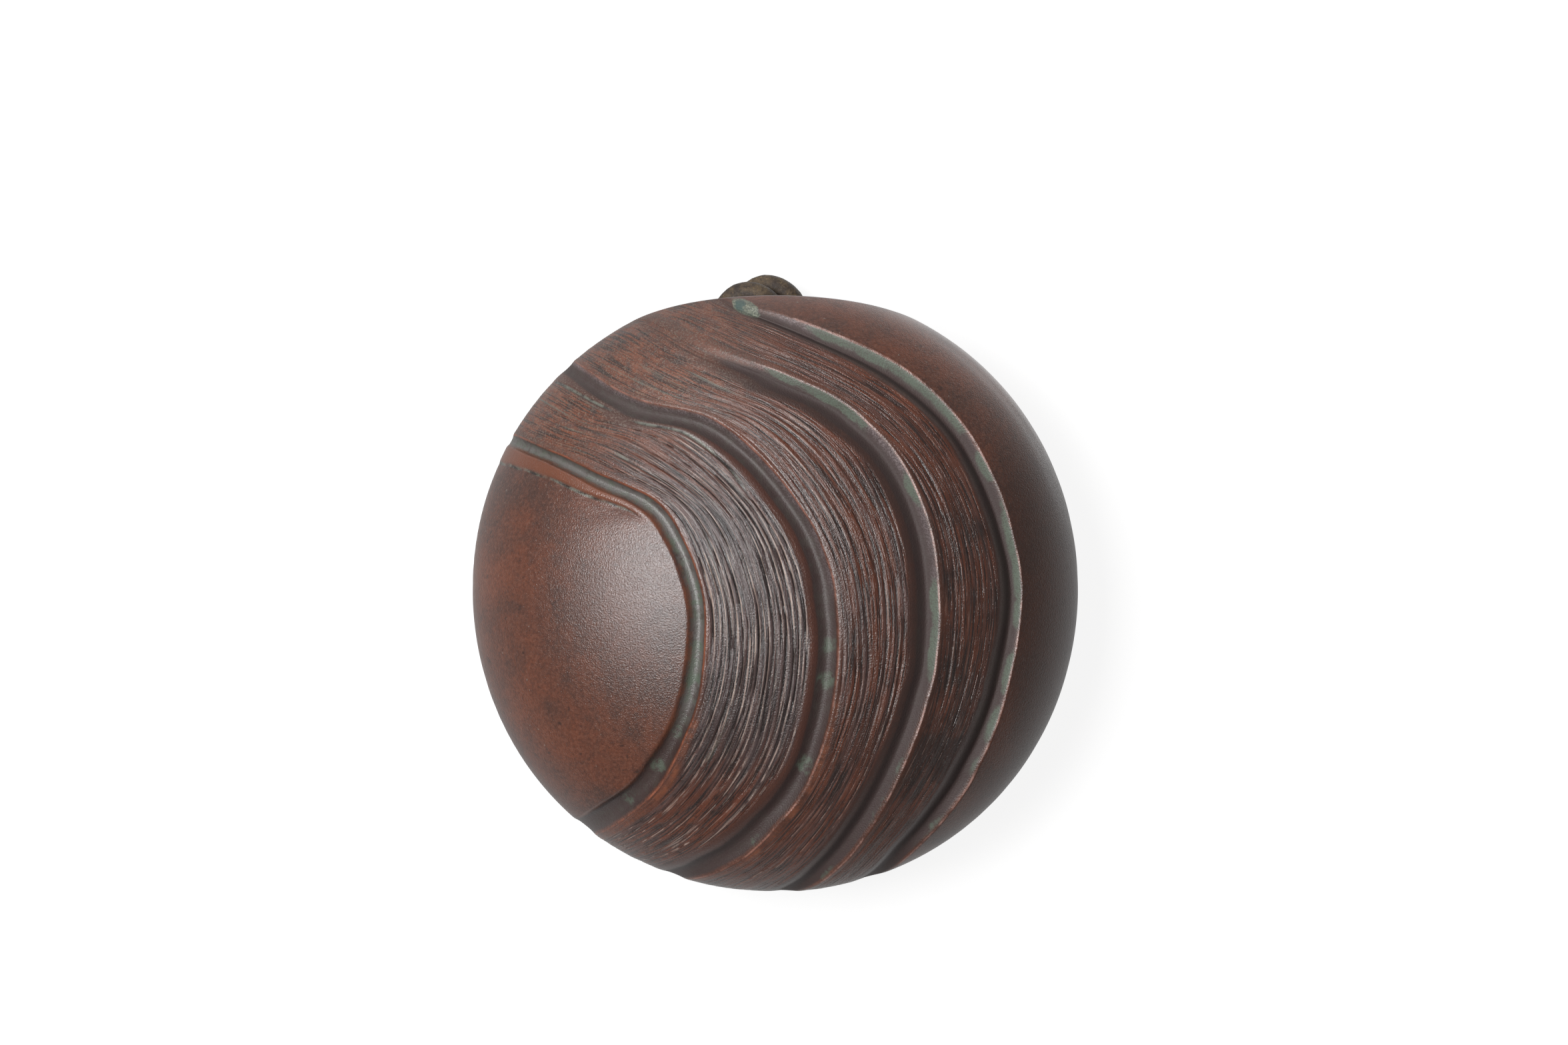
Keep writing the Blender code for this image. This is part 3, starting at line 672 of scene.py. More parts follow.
# %% Where the rib combed, and how hard
CARVED_AWAY = 1.6  # how fast the comb gives way to a channel
EDGE_SPARED = 0.7
SILL_SPARED = 0.6
EDGE_STANDS = 1.6  # the comb only gradually begins beside a crisp right edge
COMB_FORCE = (0.0, 1.0, 0.72, 0.42, 0.0)  # how hard each band was combed
TORN_TOP = -18  # the height at which the tearing begins
TORN_FADE = 26


def of_band(values):
    """Each column's value, from one for each band."""
    return np.array(values)[band_of][:, None]


combed = ((band_of > 0) & (band_of < bands - 1))[:, None]
zone = combed * (1 - np.clip(channel * CARVED_AWAY, 0, 1))
zone = zone * (1 - EDGE_SPARED * lip) * (1 - slope) * (1 - SILL_SPARED * sill)
for g, profile in enumerate(SECTIONS):
    beyond = np.where(beside[g] > 0, beside[g] - profile[-1][0], np.inf)
    begins = smooth_share(beyond / EDGE_STANDS + 0.1)
    zone = np.where(beside_groove(g), zone * begins, zone)
force = of_band(COMB_FORCE)
weak = smooth_share((flat_z - 0.35 * flat_x - 37) / 17) * smooth_share((8 - flat_x) / 26)
torn = smooth_share((TORN_TOP - flat_z) / TORN_FADE)
print("combed part of the skin:", round(float((zone > 0.5).mean()), 2))

# %% [markdown]
# The rib leaves parallel ridges. Each tooth here is a gentle fall that ends in a
# crisp step, and every ridge has its own strength, which comes and goes along it.
# Three passes of different pitch, each a little askew, cross at small angles, so
# ridges seem to fork and join as they do in clay.

# %% Comb marks
PASSES = (  # pitch, how far askew, how deep, share of ridges left out, seed
    (1.35, 0.000, 0.38, 0.12, 21),
    (0.95, 0.012, 0.27, 0.22, 31),
    (0.72, -0.020, 0.18, 0.34, 41),
)
STEP_WIDTH = 0.22
CREST_HALF = 0.17
VALLEY_SET = 0.27
VALLEY_HALF = 0.20
TOOTH_SHOWS = 3  # a tooth a third of a millimetre deep is coloured in full

drift = 2.0 * field(across / 13, along / 40, 11) + 0.7 * field(across / 5, along / 18, 12)
wander = across + drift


def strength(ridge_number, missing, seed):
    """How strong the numbered ridges are along their way."""
    own = field(ridge_number * 3, along / 17, seed + 1)
    return smooth_share((own - missing) / 0.5)


comb_depth, valleys, crests = np.zeros((3, COLUMNS, ROWS))
for pitch, askew, deep, missing, seed in PASSES:
    phase = (wander + askew * along) / pitch + 0.5 * field(across / 4, along / 20, seed)
    step_behind, step_nearest = np.floor(phase), np.round(phase)
    through = phase - step_behind
    to_step = (1 - through) * pitch
    ahead = strength(step_behind + 1, missing, seed)
    comb_depth += deep * ahead * through ** 1.5 * smooth_share(to_step / STEP_WIDTH)
    crest = hill((phase - step_nearest) * pitch, CREST_HALF) * strength(step_nearest, missing, seed)
    crests = np.maximum(crests, crest * deep * TOOTH_SHOWS)
    valley = hill(to_step - VALLEY_SET, VALLEY_HALF) * ahead
    valleys = np.maximum(valleys, valley * deep * TOOTH_SHOWS)
crests = np.clip(crests, 0, 1)
valleys = np.clip(valleys, 0, 1) * (1 - crests)
print("deepest tooth", round(float(comb_depth.max()), 2), "mm")

# %% [markdown]
# A slower field lets whole bundles of ridges sink, and where the clay is torn, short
# pits take the place of some valleys and crests. The weakly combed upper left is
# only a little uneven.

# %% Bundles, pits and the whole depth
COMB_BED = 0.12
BUNDLE_SINK = 0.35
PIT_SINK = 0.06
UNEVEN_SINK = 0.25

bundles = field(wander / 2.8, along / 36, 15)
pits = field(across / 0.7, along / 1.5, 16)
pitted = torn * smooth_share((pits - 0.60) / 0.22)
valleys = np.maximum(valleys * (1 - 0.4 * torn), 0.45 * pitted)
crests = crests * (1 - 0.6 * torn * smooth_share((0.55 - pits) / 0.2))
comb_depth = COMB_BED + comb_depth * (0.35 + 0.65 * force) * (1 - 0.45 * torn)
comb_depth = comb_depth + PIT_SINK * pitted + BUNDLE_SINK * (0.5 - bundles)
depth = depth + zone * np.maximum(comb_depth, 0) * (1 - 0.65 * weak)
depth = depth + UNEVEN_SINK * weak * zone * field(across / 1.6, along / 2.8, 19)
print("pitted part of the skin:", round(float((pitted > 0.5).mean()), 2))

# %% [markdown]
# ## Sink the skin
#
# A grid primitive gives the mesh and its UV map. Each of its points then goes to its
# place on the pebble and down along the inward normal by the depth that is cut
# there. No modelling operator knows these curves, so this is done in a few lines of
# arithmetic. The cuts grow shallow towards the widest line and die out behind it,
# so the vase's outline stays whole.

# %% Carved points
CARVING_ENDS = (math.radians(62), math.radians(100))
LIP_ROOM = 4.0 * MM  # over which the cuts die out at the lip and the joint
NORMAL_STEP = 1e-4  # radians, for measuring the skin's two directions

keep = 1 - smooth_share((roll - CARVING_ENDS[0]) / (CARVING_ENDS[1] - CARVING_ENDS[0]))
lip_room = room(flat_skin)
keep = keep * smooth_share(lip_room / LIP_ROOM)
down_roll = skin(angle, roll + NORMAL_STEP) - flat_skin
round_it = skin(angle + NORMAL_STEP, roll) - flat_skin
inward = np.cross(round_it, down_roll)
inward /= np.linalg.norm(inward, axis=2, keepdims=True)
carved = flat_skin + inward * (depth * keep * MM)[..., None]
print("carved points:", carved.shape[0] * carved.shape[1])

# %% [markdown]
# The skin and its lining are two grids. The lining is plain and hardly seen, so it
# has a quarter of the skin's columns and rows. The border of each lies exactly as
# far from the planes as the rounding of the edge needs.

# %% Grids for the skin and its lining
THIN = 4  # the lining has a quarter of the columns and rows


def add_grid(name, columns, rows):
    """A grid primitive, and the (column, row) of each of its vertices."""
    bpy.ops.object.select_all(action="DESELECT")
    bpy.ops.mesh.primitive_grid_add(x_subdivisions=columns - 1, y_subdivisions=rows - 1, size=1)
    grid = bpy.context.object
    grid.name = name
    at = np.empty(len(grid.data.vertices) * 3)
    grid.data.vertices.foreach_get("co", at)
    at = at.reshape(-1, 3) + 0.5
    return grid, np.round(at[:, :2] * (columns - 1, rows - 1)).astype(int)


def pick(count):
    """Every fourth number, and always the last."""
    return np.unique(np.append(np.arange(0, count, THIN), count - 1))


skin_grid, skin_at = add_grid("front_skin", COLUMNS, ROWS)
thin_columns, thin_rows = pick(COLUMNS), pick(ROWS)
lining_grid, lining_at = add_grid("front_lining", len(thin_columns), len(thin_rows))


def edge_points(surface, where, margin):
    """Where a surface ends at places on the edge, exactly margin from the planes."""
    angle = angle_and_roll(where)[0]
    return surface(angle, edge_roll(surface, angle, margin))


for grid, at, surface, columns, rows in (
        (skin_grid, skin_at, skin, np.arange(COLUMNS), np.arange(ROWS)),
        (lining_grid, lining_at, lining, thin_columns, thin_rows)):
    where = places[columns[at[:, 0]], rows[at[:, 1]]]
    if surface is skin:
        points = carved[at[:, 0], at[:, 1]]
    else:
        a, r = angle_and_roll(where)
        r = r / np.interp(a, EDGE_ANGLES, SKIN_EDGE) * np.interp(a, EDGE_ANGLES, LINING_EDGE)
        points = lining(a, r)
    border = ((at == 0) | (at == (len(columns) - 1, len(rows) - 1))).any(axis=1)
    points[border] = edge_points(surface, where[border], EDGE_ROUND)
    grid.data.vertices.foreach_set("co", points.ravel())
    print(grid.name, len(points), "points")

# %% [markdown]
# ## Close the shell
#
# The skin and the lining meet in a land that is rounded at its outer edge. Bridge
# Edge Loops can't be told which vertices belong together when one loop has four
# times as many as the other, so the strips are laid face by face.

# %% Places of the rounded land
ROUNDING = 1 - math.sqrt(0.5)  # how far a quarter circle's middle is from its corner


def ring_of(columns, rows):
    """The (column, row) of each place round a grid's border."""
    ring = [(c, 0) for c in range(columns)]
    ring += [(columns - 1, r) for r in range(1, rows)]
    ring += [(c, rows - 1) for c in range(columns - 2, -1, -1)]
    return ring + [(0, r) for r in range(rows - 2, 0, -1)]


work = bmesh.new()
work.from_mesh(skin_grid.data)
skin_count = len(work.verts)
work.from_mesh(lining_grid.data)
grid_verts = list(work.verts)
skin_number = {tuple(p): i for i, p in enumerate(skin_at)}
lining_number = {tuple(p): skin_count + i for i, p in enumerate(lining_at)}
outer_ring = ring_of(COLUMNS, ROWS)
where = np.array([places[c, r] for c, r in outer_ring])
start = edge_points(skin, where, EDGE_ROUND)
corner = edge_points(skin, where, 0.0)
inner = edge_points(lining, where, 0.0)
across_land = inner - corner
across_land /= np.linalg.norm(across_land, axis=1, keepdims=True)
landed = corner + across_land * EDGE_ROUND
halfway = corner + (start - corner) * ROUNDING + (landed - corner) * ROUNDING
print("round the land:", len(outer_ring), "places")

# %% [markdown]
# Two rings of new vertices carry the rounding: one halfway round and one on the flat
# of the land. Faces join them to the skin's border.

# %% Strips over the rounded edge
rings = [[grid_verts[skin_number[p]] for p in outer_ring]]
for points in (halfway, landed):
    rings.append([work.verts.new(p) for p in points])
for first, second in zip(rings, rings[1:]):
    for i in range(len(first)):
        j = (i + 1) % len(first)
        work.faces.new((first[i], first[j], second[j], second[i]))
print("strips over the edge:", len(rings) - 1)

# %% [markdown]
# A fan of triangles joins each few steps of the outer ring to one step of the
# lining's, where the lining's thinner grid has a vertex.

# %% Strips down to the lining
column_index = {c: i for i, c in enumerate(thin_columns)}
row_index = {r: i for i, r in enumerate(thin_rows)}
corners = [i for i, (c, r) in enumerate(outer_ring) if c in column_index and r in row_index]
lining_places = [(column_index[c], row_index[r]) for c, r in (outer_ring[i] for i in corners)]
lining_ring = [grid_verts[lining_number[p]] for p in lining_places]
lining_land = [work.verts.new(inner[i] - across_land[i] * EDGE_ROUND) for i in corners]
for k, i in enumerate(corners):
    nxt = (k + 1) % len(corners)
    stop = corners[nxt] if nxt else len(outer_ring)
    for j in range(i, stop):
        work.faces.new((rings[2][j], rings[2][(j + 1) % len(outer_ring)], lining_land[k]))
    work.faces.new((rings[2][stop % len(outer_ring)], lining_land[nxt], lining_land[k]))
    work.faces.new((lining_land[k], lining_land[nxt], lining_ring[nxt], lining_ring[k]))
bmesh.ops.recalc_face_normals(work, faces=work.faces)
work.to_mesh(skin_grid.data)
loose_edges = sum(1 for e in work.edges if len(e.link_faces) != 2)
work.free()
bpy.data.objects.remove(lining_grid)
carved_front = skin_grid
carved_front.name = "carved_front"
print("carved front:", len(carved_front.data.polygons), "faces,", loose_edges, "open edges")

# %% [markdown]
# ## What the glaze needs to know
#
# The glaze behaves by the relief: it pools green-grey where it is thick, stays dark
# in scratches and breaks to orange-red on crisp edges. So the relief's layers go
# into the mesh as attributes, and the grain's coordinates go into the UV map. Some
# of the layers also carry painted shade, a painted highlight and a painted sheen.

# %% Pools, frost and shade
POOLS = (  # x, z, reach
    (-21.8, -30.2, 2.4), (-26.1, -38.6, 2.6), (-33.0, -46.3, 2.6), (-19.2, 1.2, 6),
    (-18.5, -12.0, 6), (-18.0, -20.0, 4), (-24.0, 12.0, 5), (12.6, -10.3, 3),
    (12.2, -18.7, 3), (-3.6, -55.8, 2.0), (7.5, -38.0, 3), (10.7, 44.9, 7), (2.0, 49.0, 5),
    (35.5, -2.0, 6), (35.3, -12.0, 6), (24.5, -49.4, 6), (29.0, -38.0, 4), (30.5, 24.0, 4),
    (17.0, 40.0, 5), (11.0, -62.0, 5), (13.0, 58.8, 6), (22.0, 54.0, 8), (30.5, 48.7, 8),
    (38.0, 41.0, 6), (47.0, 29.0, 4), (55.0, 14.0, 7), (56.0, 4.0, 7), (56.0, -3.5, 4),
    (54.0, -17.9, 5), (50.0, -29.0, 5), (46.0, -38.6, 4), (36.8, -52.4, 5), (-13.0, 51.0, 3),
)
LEAF_POOL = (-6.4, 65.8, 2.9, 1.4, -24)  # x, z, half sizes and slope of the last groove's head
# A darker grey patch on the dish, painted under the key lamp's sheen to tint the sheen grey-lilac.
SHEEN_GREY_SPOT = (-27, 4, 20)  # a grey cloud on the dish
# The lilac on the right walls is partly the glaze's frost and partly a painted sheen of the key
# lamp, which the walls face.
FROSTED = (0.0, 0.85, 1.0, 0.55)  # how far each groove's right wall is frosted
FROST_FOOT = (0, -8, -26, -40)  # the height at which its frost begins
GLASSY = (1.0, 0.12, 0.0, 0.0)  # how far its floor is glassy grey-green
# The pink of the right edges is partly a painted glint.
PINK = (0.0, 0.5, 1.0, 1.0)  # how far its right edge breaks to pink
# Painted shade on each groove's left slope, which faces away from the key lamp; strongest at the
# grooves on the right.
SLOPE_PAINTED_SHADE = (0.0, 0.25, 0.85, 0.9)  # how dark its left slope is
PURPLE = (0.0, 1.0, 0.15, 0.0, 0.0)  # how purple-grey each band is where it is combed
# Painted shade on each band: darker towards the right, where the key lamp's light falls off.
PAINTED_SHADE = (0.0, 0.0, 0.6, 1.0, 0.8)  # how dark each band's glaze is on the whole

nearest = np.argmin([np.where(beside_groove(g), np.abs(beside[g]), np.inf)
                     for g in range(len(GROOVES))], axis=0)


def of_groove(values):
    """Each point's value, from one for each groove, by the nearest groove."""
    return np.array(values)[nearest]


pools = np.max([spot(*pool) for pool in POOLS], axis=0)
x, z, half_long, half_wide, turn = LEAF_POOL
turn = math.radians(turn)
u = (flat_x - x) * math.cos(turn) + (flat_z - z) * math.sin(turn)
v = (flat_z - z) * math.cos(turn) - (flat_x - x) * math.sin(turn)
leaf = smooth_share(1.5 - np.hypot(u / half_long, v / half_wide))
frost_down = 0.12 + 0.88 * smooth_share((flat_z - of_groove(FROST_FOOT)) / 14)
# Painted highlight: the frost is laid up to 1.9 times more strongly above 50 mm, at the grooves'
# heads.
painted_highlight_head = 1 + 0.9 * smooth_share((flat_z - 50) / 8)
glassy_down = 0.08 + 0.92 * smooth_share((flat_z + 34) / 14)
purple = of_band(PURPLE) * smooth_share((40 - flat_z) / 30) * smooth_share((flat_z + 60) / 40)
# Painted shade: darker on the bands towards the right and on the right rim, where the key lamp's
# light falls off, and in a patch low on the first combed band.
shade = of_band(PAINTED_SHADE) * smooth_share((46 - flat_z) / 40) * smooth_share((flat_z + 75) / 40)
shade = np.maximum(shade, 0.55 * hill(flat_z + 30, 14) * (band_of == 1)[:, None])
shade = np.maximum(shade, smooth_share((flat_x - 42) / 16) * smooth_share((50 - flat_z) / 30))
print("pools:", len(POOLS), "and one at the last groove's head")

# %% [markdown]
# Each layer is one number for each point of the skin. They all die out behind the
# widest line, as the relief does.

# %% The layers
COLOUR_END = math.radians(92)
COLOUR_FADE = math.radians(30)

layers = {
    "channel": channel,
    "glassy": channel * of_groove(GLASSY) * glassy_down,
    "slope": slope,
    "slope_painted_shade": of_groove(SLOPE_PAINTED_SHADE),
    # The frosted strip, with its painted highlight at the grooves' heads.
    "wall_strip": wall_strip * np.minimum(of_groove(FROSTED) * frost_down * painted_highlight_head, 1),
    "lip": lip,
    "pink": of_groove(PINK),
    "shoulder": np.maximum(shoulder, sill),
    # Comb valleys and crests: their near-black is partly painted shade, their tan partly a painted
    # glint.
    "valley": valleys * zone * (1 - 0.7 * weak) * (0.4 + 0.6 * force),
    "crest": crests * zone * (1 - 0.75 * weak) * force,
    "grey_under_sheen": spot(*SHEEN_GREY_SPOT) * dish,
    "combed": zone,
    "weak": weak * combed,
    "purple": purple,
    "shade": shade,
    "fold": fold_lines,
    "ridge": ridge,
    "pool": pools * np.maximum(channel * (nearest < 2), wall_strip),
    "leaf": leaf,
    "leaf_deep": leaf * smooth_share((0.35 - u / half_long) / 0.6),
}
colour_keep = 1 - smooth_share((roll - COLOUR_END) / COLOUR_FADE)
print("layers:", ", ".join(layers))

# %% [markdown]
# A mesh attribute holds one number for each vertex, and a material can read it by
# name. The grain's coordinates are two numbers, which is what a UV map holds.

# %% Attributes and UV map
UV_SCALE = 100  # millimetres of grain to one unit of the UV map


def select_only(piece):
    bpy.ops.object.select_all(action="DESELECT")
    piece.select_set(True)
    bpy.context.view_layer.objects.active = piece


mesh = carved_front.data
skin_columns, skin_rows = skin_at.T
for name, values in layers.items():
    store = mesh.attributes.new(name, "FLOAT", "POINT")
    data = np.zeros(len(mesh.vertices), np.float32)
    data[:skin_count] = (values * colour_keep)[skin_columns, skin_rows]
    store.data.foreach_set("value", data)
grain = np.zeros((len(mesh.vertices), 2), np.float32)
grain[:skin_count, 0] = wander[skin_columns, skin_rows] / UV_SCALE
grain[:skin_count, 1] = along[skin_columns, skin_rows] / UV_SCALE
corner_vertex = np.empty(len(mesh.loops), int)
mesh.loops.foreach_get("vertex_index", corner_vertex)
mesh.uv_layers[0].name = "grain"
mesh.uv_layers["grain"].data.foreach_set("uv", grain[corner_vertex].ravel())
select_only(carved_front)
bpy.ops.object.shade_smooth_by_angle(angle=math.radians(60))
print("attributes on", len(mesh.vertices), "vertices")

# %% [markdown]
# ## The back slab and its strap
#
# Both are plain solids with machine-sharp edges. On the real vase a wet sponge has
# rounded every edge. Each gets a copy of its solid, remeshed into small even faces
# and smoothed, which wears its edges down inwards and so keeps it in its place.

# %% Sponged copies of the slab and the strap
def sponged(node, name, voxel, passes):
    """A copy of a solid with its edges worn round."""
    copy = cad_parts[node].copy()
    copy.data = copy.data.copy()
    copy.parent = None
    bpy.context.collection.objects.link(copy)
    copy.name = name
    select_only(copy)
    bpy.ops.object.mode_set(mode="EDIT")
    bpy.ops.mesh.select_all(action="SELECT")
    bpy.ops.mesh.remove_doubles(threshold=0.00001)
    bpy.ops.object.mode_set(mode="OBJECT")
    remesh = copy.modifiers.new("even_faces", "REMESH")
    remesh.mode = "VOXEL"
    remesh.voxel_size = voxel
    bpy.ops.object.modifier_apply(modifier=remesh.name)
    wear = copy.modifiers.new("sponge", "SMOOTH")
    wear.factor = 0.5
    wear.iterations = passes
    bpy.ops.object.modifier_apply(modifier=wear.name)
    copy.data.shade_smooth()
    print(name, len(copy.data.polygons), "faces")
    return copy


back_slab = sponged("back_wall", "back_slab", voxel=0.9 * MM, passes=4)
cord_strap = sponged("cord_lug", "cord_strap", voxel=0.35 * MM, passes=5)

# %% [markdown]
# ## The cord
#
# One length of round leather, 6 mm thick, goes up from its short tail, through the
# knot, round through the strap and back up to the knot. It's a curve on the same
# route as the solid, with a bevel for its roundness. Turned into a mesh, it can take
# the small dents and creases of waxed leather.

# %% Cord route
CORD_RADIUS = 3.0 * MM
CORD_CLEARANCE = 0.6 * MM
STRAP_DROP = 15.0 * MM
KNOT_CENTRE = np.array((-3.6, -3.6, 24.2)) * MM
KNOT_YAW = math.radians(48)
KNOT_RISE = math.radians(15)
KNOT_RADIUS = 4.9 * MM
KNOT_HALF_LENGTH = 11.5 * MM
KNOT_TURNS = 1.52
LEFT_PART = (0.16, 0.74)  # the share of the knot's length that each strand runs
RIGHT_PART = (0.14, 0.93)
KNOT_ARCH = 20.0  # metres of drop for each square metre from the knot's middle
KNOT_STEPS = 12
CORD_POINTS = 281
LEFT_STRAND = ((-15.2, -4.4, 17.0), (-20.8, -1.1, 11.8), (-19.8, 0.0, 4.4), (-14.0, 0.0, 1.0))
IN_STRAP = ((-7.5, 0.0, 0.0), (0.0, 0.0, -0.1), (7.5, 0.0, 0.0))
RIGHT_STRAND = ((13.0, 0.0, 0.9), (17.0, 0.0, 4.4), (15.8, 0.8, 12.0), (14.6, -0.7, 18.2))
RIGHT_TAIL = ((-1.8, 3.3, 20.9), (-1.9, 3.4, 21.7))
LEFT_TAIL = ((-24.2, -7.6, 20.1), (-25.5, -1.4, 18.3))

cord_axis = REAR_LIP - LEAN_UP * STRAP_DROP + LEAN_NORMAL * (CORD_RADIUS + CORD_CLEARANCE)
knot_axis = np.array((math.cos(KNOT_YAW) * math.cos(KNOT_RISE),
                      math.sin(KNOT_YAW) * math.cos(KNOT_RISE), math.sin(KNOT_RISE)))
knot_level = np.array((-math.sin(KNOT_YAW), math.cos(KNOT_YAW), 0))
knot_upward = np.cross(knot_axis, knot_level)


def knot_strand(side, part):
    """One strand's way through the knot: both wind round its axis, half a turn apart."""
    share = np.linspace(*part, KNOT_STEPS + 1)[:, None]
    turn = 2 * np.pi * KNOT_TURNS * share
    x = KNOT_HALF_LENGTH * (2 * share - 1)
    y = KNOT_RADIUS * np.sin(turn)
    z = -KNOT_RADIUS * np.cos(turn) - KNOT_ARCH * x * x
    return KNOT_CENTRE + knot_axis * side * x + knot_level * side * y + knot_upward * z


route = np.vstack([np.array(RIGHT_TAIL) * MM, knot_strand(1, LEFT_PART)[::-1],
                   np.array(LEFT_STRAND + IN_STRAP + RIGHT_STRAND) * MM,
                   knot_strand(-1, RIGHT_PART), np.array(LEFT_TAIL) * MM]) + cord_axis
cord_path = smooth_curve(route, CORD_POINTS)

# %% [markdown]
# The bevel makes the line a tube. Two Displace modifiers then dent the mesh by a
# cloudy texture: broad shallow dents first, then fine creases.

# %% Cord as a dented tube
SLIM = 0.27 * MM  # leaves room for the dents' outward half
DENTS = (("dents", 2.2 * MM, 0.22 * MM), ("creases", 0.7 * MM, 0.12 * MM))  # size and height

line = bpy.data.curves.new("leather_cord", "CURVE")
line.dimensions = "3D"
line.bevel_depth = CORD_RADIUS - SLIM
line.bevel_resolution = 8
line.use_fill_caps = True
spline = line.splines.new("POLY")
spline.points.add(len(cord_path) - 1)
spline.points.foreach_set("co", np.hstack([cord_path, np.ones((len(cord_path), 1))]).ravel())
leather_cord = bpy.data.objects.new("leather_cord", line)
bpy.context.collection.objects.link(leather_cord)
select_only(leather_cord)
bpy.ops.object.convert(target="MESH")
leather_cord = bpy.context.object
leather_cord.name = "leather_cord"
for name, size, height in DENTS:
    clouds = bpy.data.textures.new(name, "CLOUDS")
    clouds.noise_scale = size
    clouds.noise_depth = 2
    dent = leather_cord.modifiers.new(name, "DISPLACE")
    dent.texture = clouds
    dent.texture_coords = "LOCAL"
    dent.strength = height
    dent.mid_level = 0.5
    bpy.ops.object.modifier_apply(modifier=dent.name)
leather_cord.data.shade_smooth()
print("leather cord:", len(leather_cord.data.polygons), "faces")

# %% [markdown]
# ## Shader arithmetic
#
# A material is a graph of nodes, and most of them do sums. `Value` wraps one output
# socket so that Python's own signs add the Math nodes.

# %% Sums on sockets
class Value:
    """A socket's number, colour or shader. A sum on a number adds a Math node."""

    def __init__(self, graph, socket):
        self.graph = graph
        self.socket = socket

    def math(self, operation, first, second):
        return self.graph.node("ShaderNodeMath", {"operation": operation}, [first, second])

    def __add__(self, other):
        return self.math("ADD", self, other)

    def __sub__(self, other):
        return self.math("SUBTRACT", self, other)

    def __rsub__(self, other):
        return self.math("SUBTRACT", other, self)

    def __mul__(self, other):
        return self.math("MULTIPLY", self, other)

    __radd__ = __add__
    __rmul__ = __mul__

    def step(self, low, high, to_low=0.0, to_high=1.0):
        """This value eased from low..high to to_low..to_high, and held outside."""
        return self.graph.node("ShaderNodeMapRange", {"interpolation_type": "SMOOTHSTEP"},
                               [self, low, high, to_low, to_high])


print("sums:", "add, subtract, multiply and step")

# %% [markdown]
# `Graph.node` adds any kind of node, and the rest of `Graph` is what every material
# here needs: places, layers, noise, mixed colours and the coat itself.

# %% A material's graph
class Graph:
    """A material's nodes."""

    def __init__(self, name):
        self.material = bpy.data.materials.new(name)
        self.material.use_nodes = True
        self.tree = self.material.node_tree
        self.shader = self.tree.nodes["Principled BSDF"]

    def link(self, value, socket):
        if isinstance(value, Value):
            self.tree.links.new(value.socket, socket)
        else:
            socket.default_value = value

    def node(self, kind, settings=None, values=(), out=0, **named):
        """Adds a node: its settings first, then its sockets in order or by name."""
        made = self.tree.nodes.new(kind)
        for key, setting in (settings or {}).items():
            setattr(made, key, setting)
        for socket, value in zip(made.inputs, values):
            self.link(value, socket)
        for key, value in named.items():
            self.link(value, made.inputs[key])
        return Value(self, made.outputs[out])

    def place(self):
        """Each point's place in metres, on which patterns are laid out."""
        return self.node("ShaderNodeTexCoord", out="Object")

    def layer(self, name):
        """A number stored on the mesh."""
        return self.node("ShaderNodeAttribute", {"attribute_name": name}, out="Fac")

    def noise(self, vector, scale, detail=2.0, roughness=0.5, distortion=0.0):
        """Noise from 0 to 1, with about scale bumps to one unit of the vector."""
        return self.node("ShaderNodeTexNoise", Vector=vector, Scale=scale, Detail=detail,
                         Roughness=roughness, Distortion=distortion)

    def mix(self, factor, first, second):
        """Two colours by a factor."""
        made = self.tree.nodes.new("ShaderNodeMix")
        made.data_type = "RGBA"
        for key, value in (("Factor_Float", factor), ("A_Color", first), ("B_Color", second)):
            socket = next(s for s in made.inputs if s.identifier == key)
            self.link((*value, 1) if isinstance(value, tuple) else value, socket)
        return Value(self, next(s for s in made.outputs if s.identifier == "Result_Color"))

    def coat(self, piece, colour, roughness, height, relief, ior):
        """Finishes the material, with height as bumps of relief metres, and puts it on a piece."""
        bump = self.node("ShaderNodeBump", Height=height, Strength=1.0, Distance=relief)
        for key, value in (("Base Color", colour), ("Roughness", roughness),
                           ("Normal", bump), ("IOR", ior)):
            self.link(value, self.shader.inputs[key])
        piece.data.materials.clear()
        piece.data.materials.append(self.material)
        print(piece.name, "wears", self.material.name, "of", len(self.tree.nodes), "nodes")


print("a material starts with:", "Principled BSDF and Material Output")

# %% [markdown]
# ## Iron glaze on the plain parts
#
# The glaze is a satin red-brown with darker purple-brown clouds, and its skin is
# faintly pebbled like orange peel. Fine dark and pale specks come from iron in the
# clay and from crystals in the glaze. One function paints that, for the dish and
# the rim of the front as for the lining, the slab and the strap.

# %% Plain glaze
PEEL_RELIEF = 1.0 * MM
RED_BROWN = (0.178, 0.056, 0.029)
DARK_BROWN = (0.082, 0.038, 0.028)
NEAR_BLACK = (0.016, 0.011, 0.010)
PALE_SPECK = (0.280, 0.240, 0.210)
RUST_MOTTLE = (0.230, 0.110, 0.075)


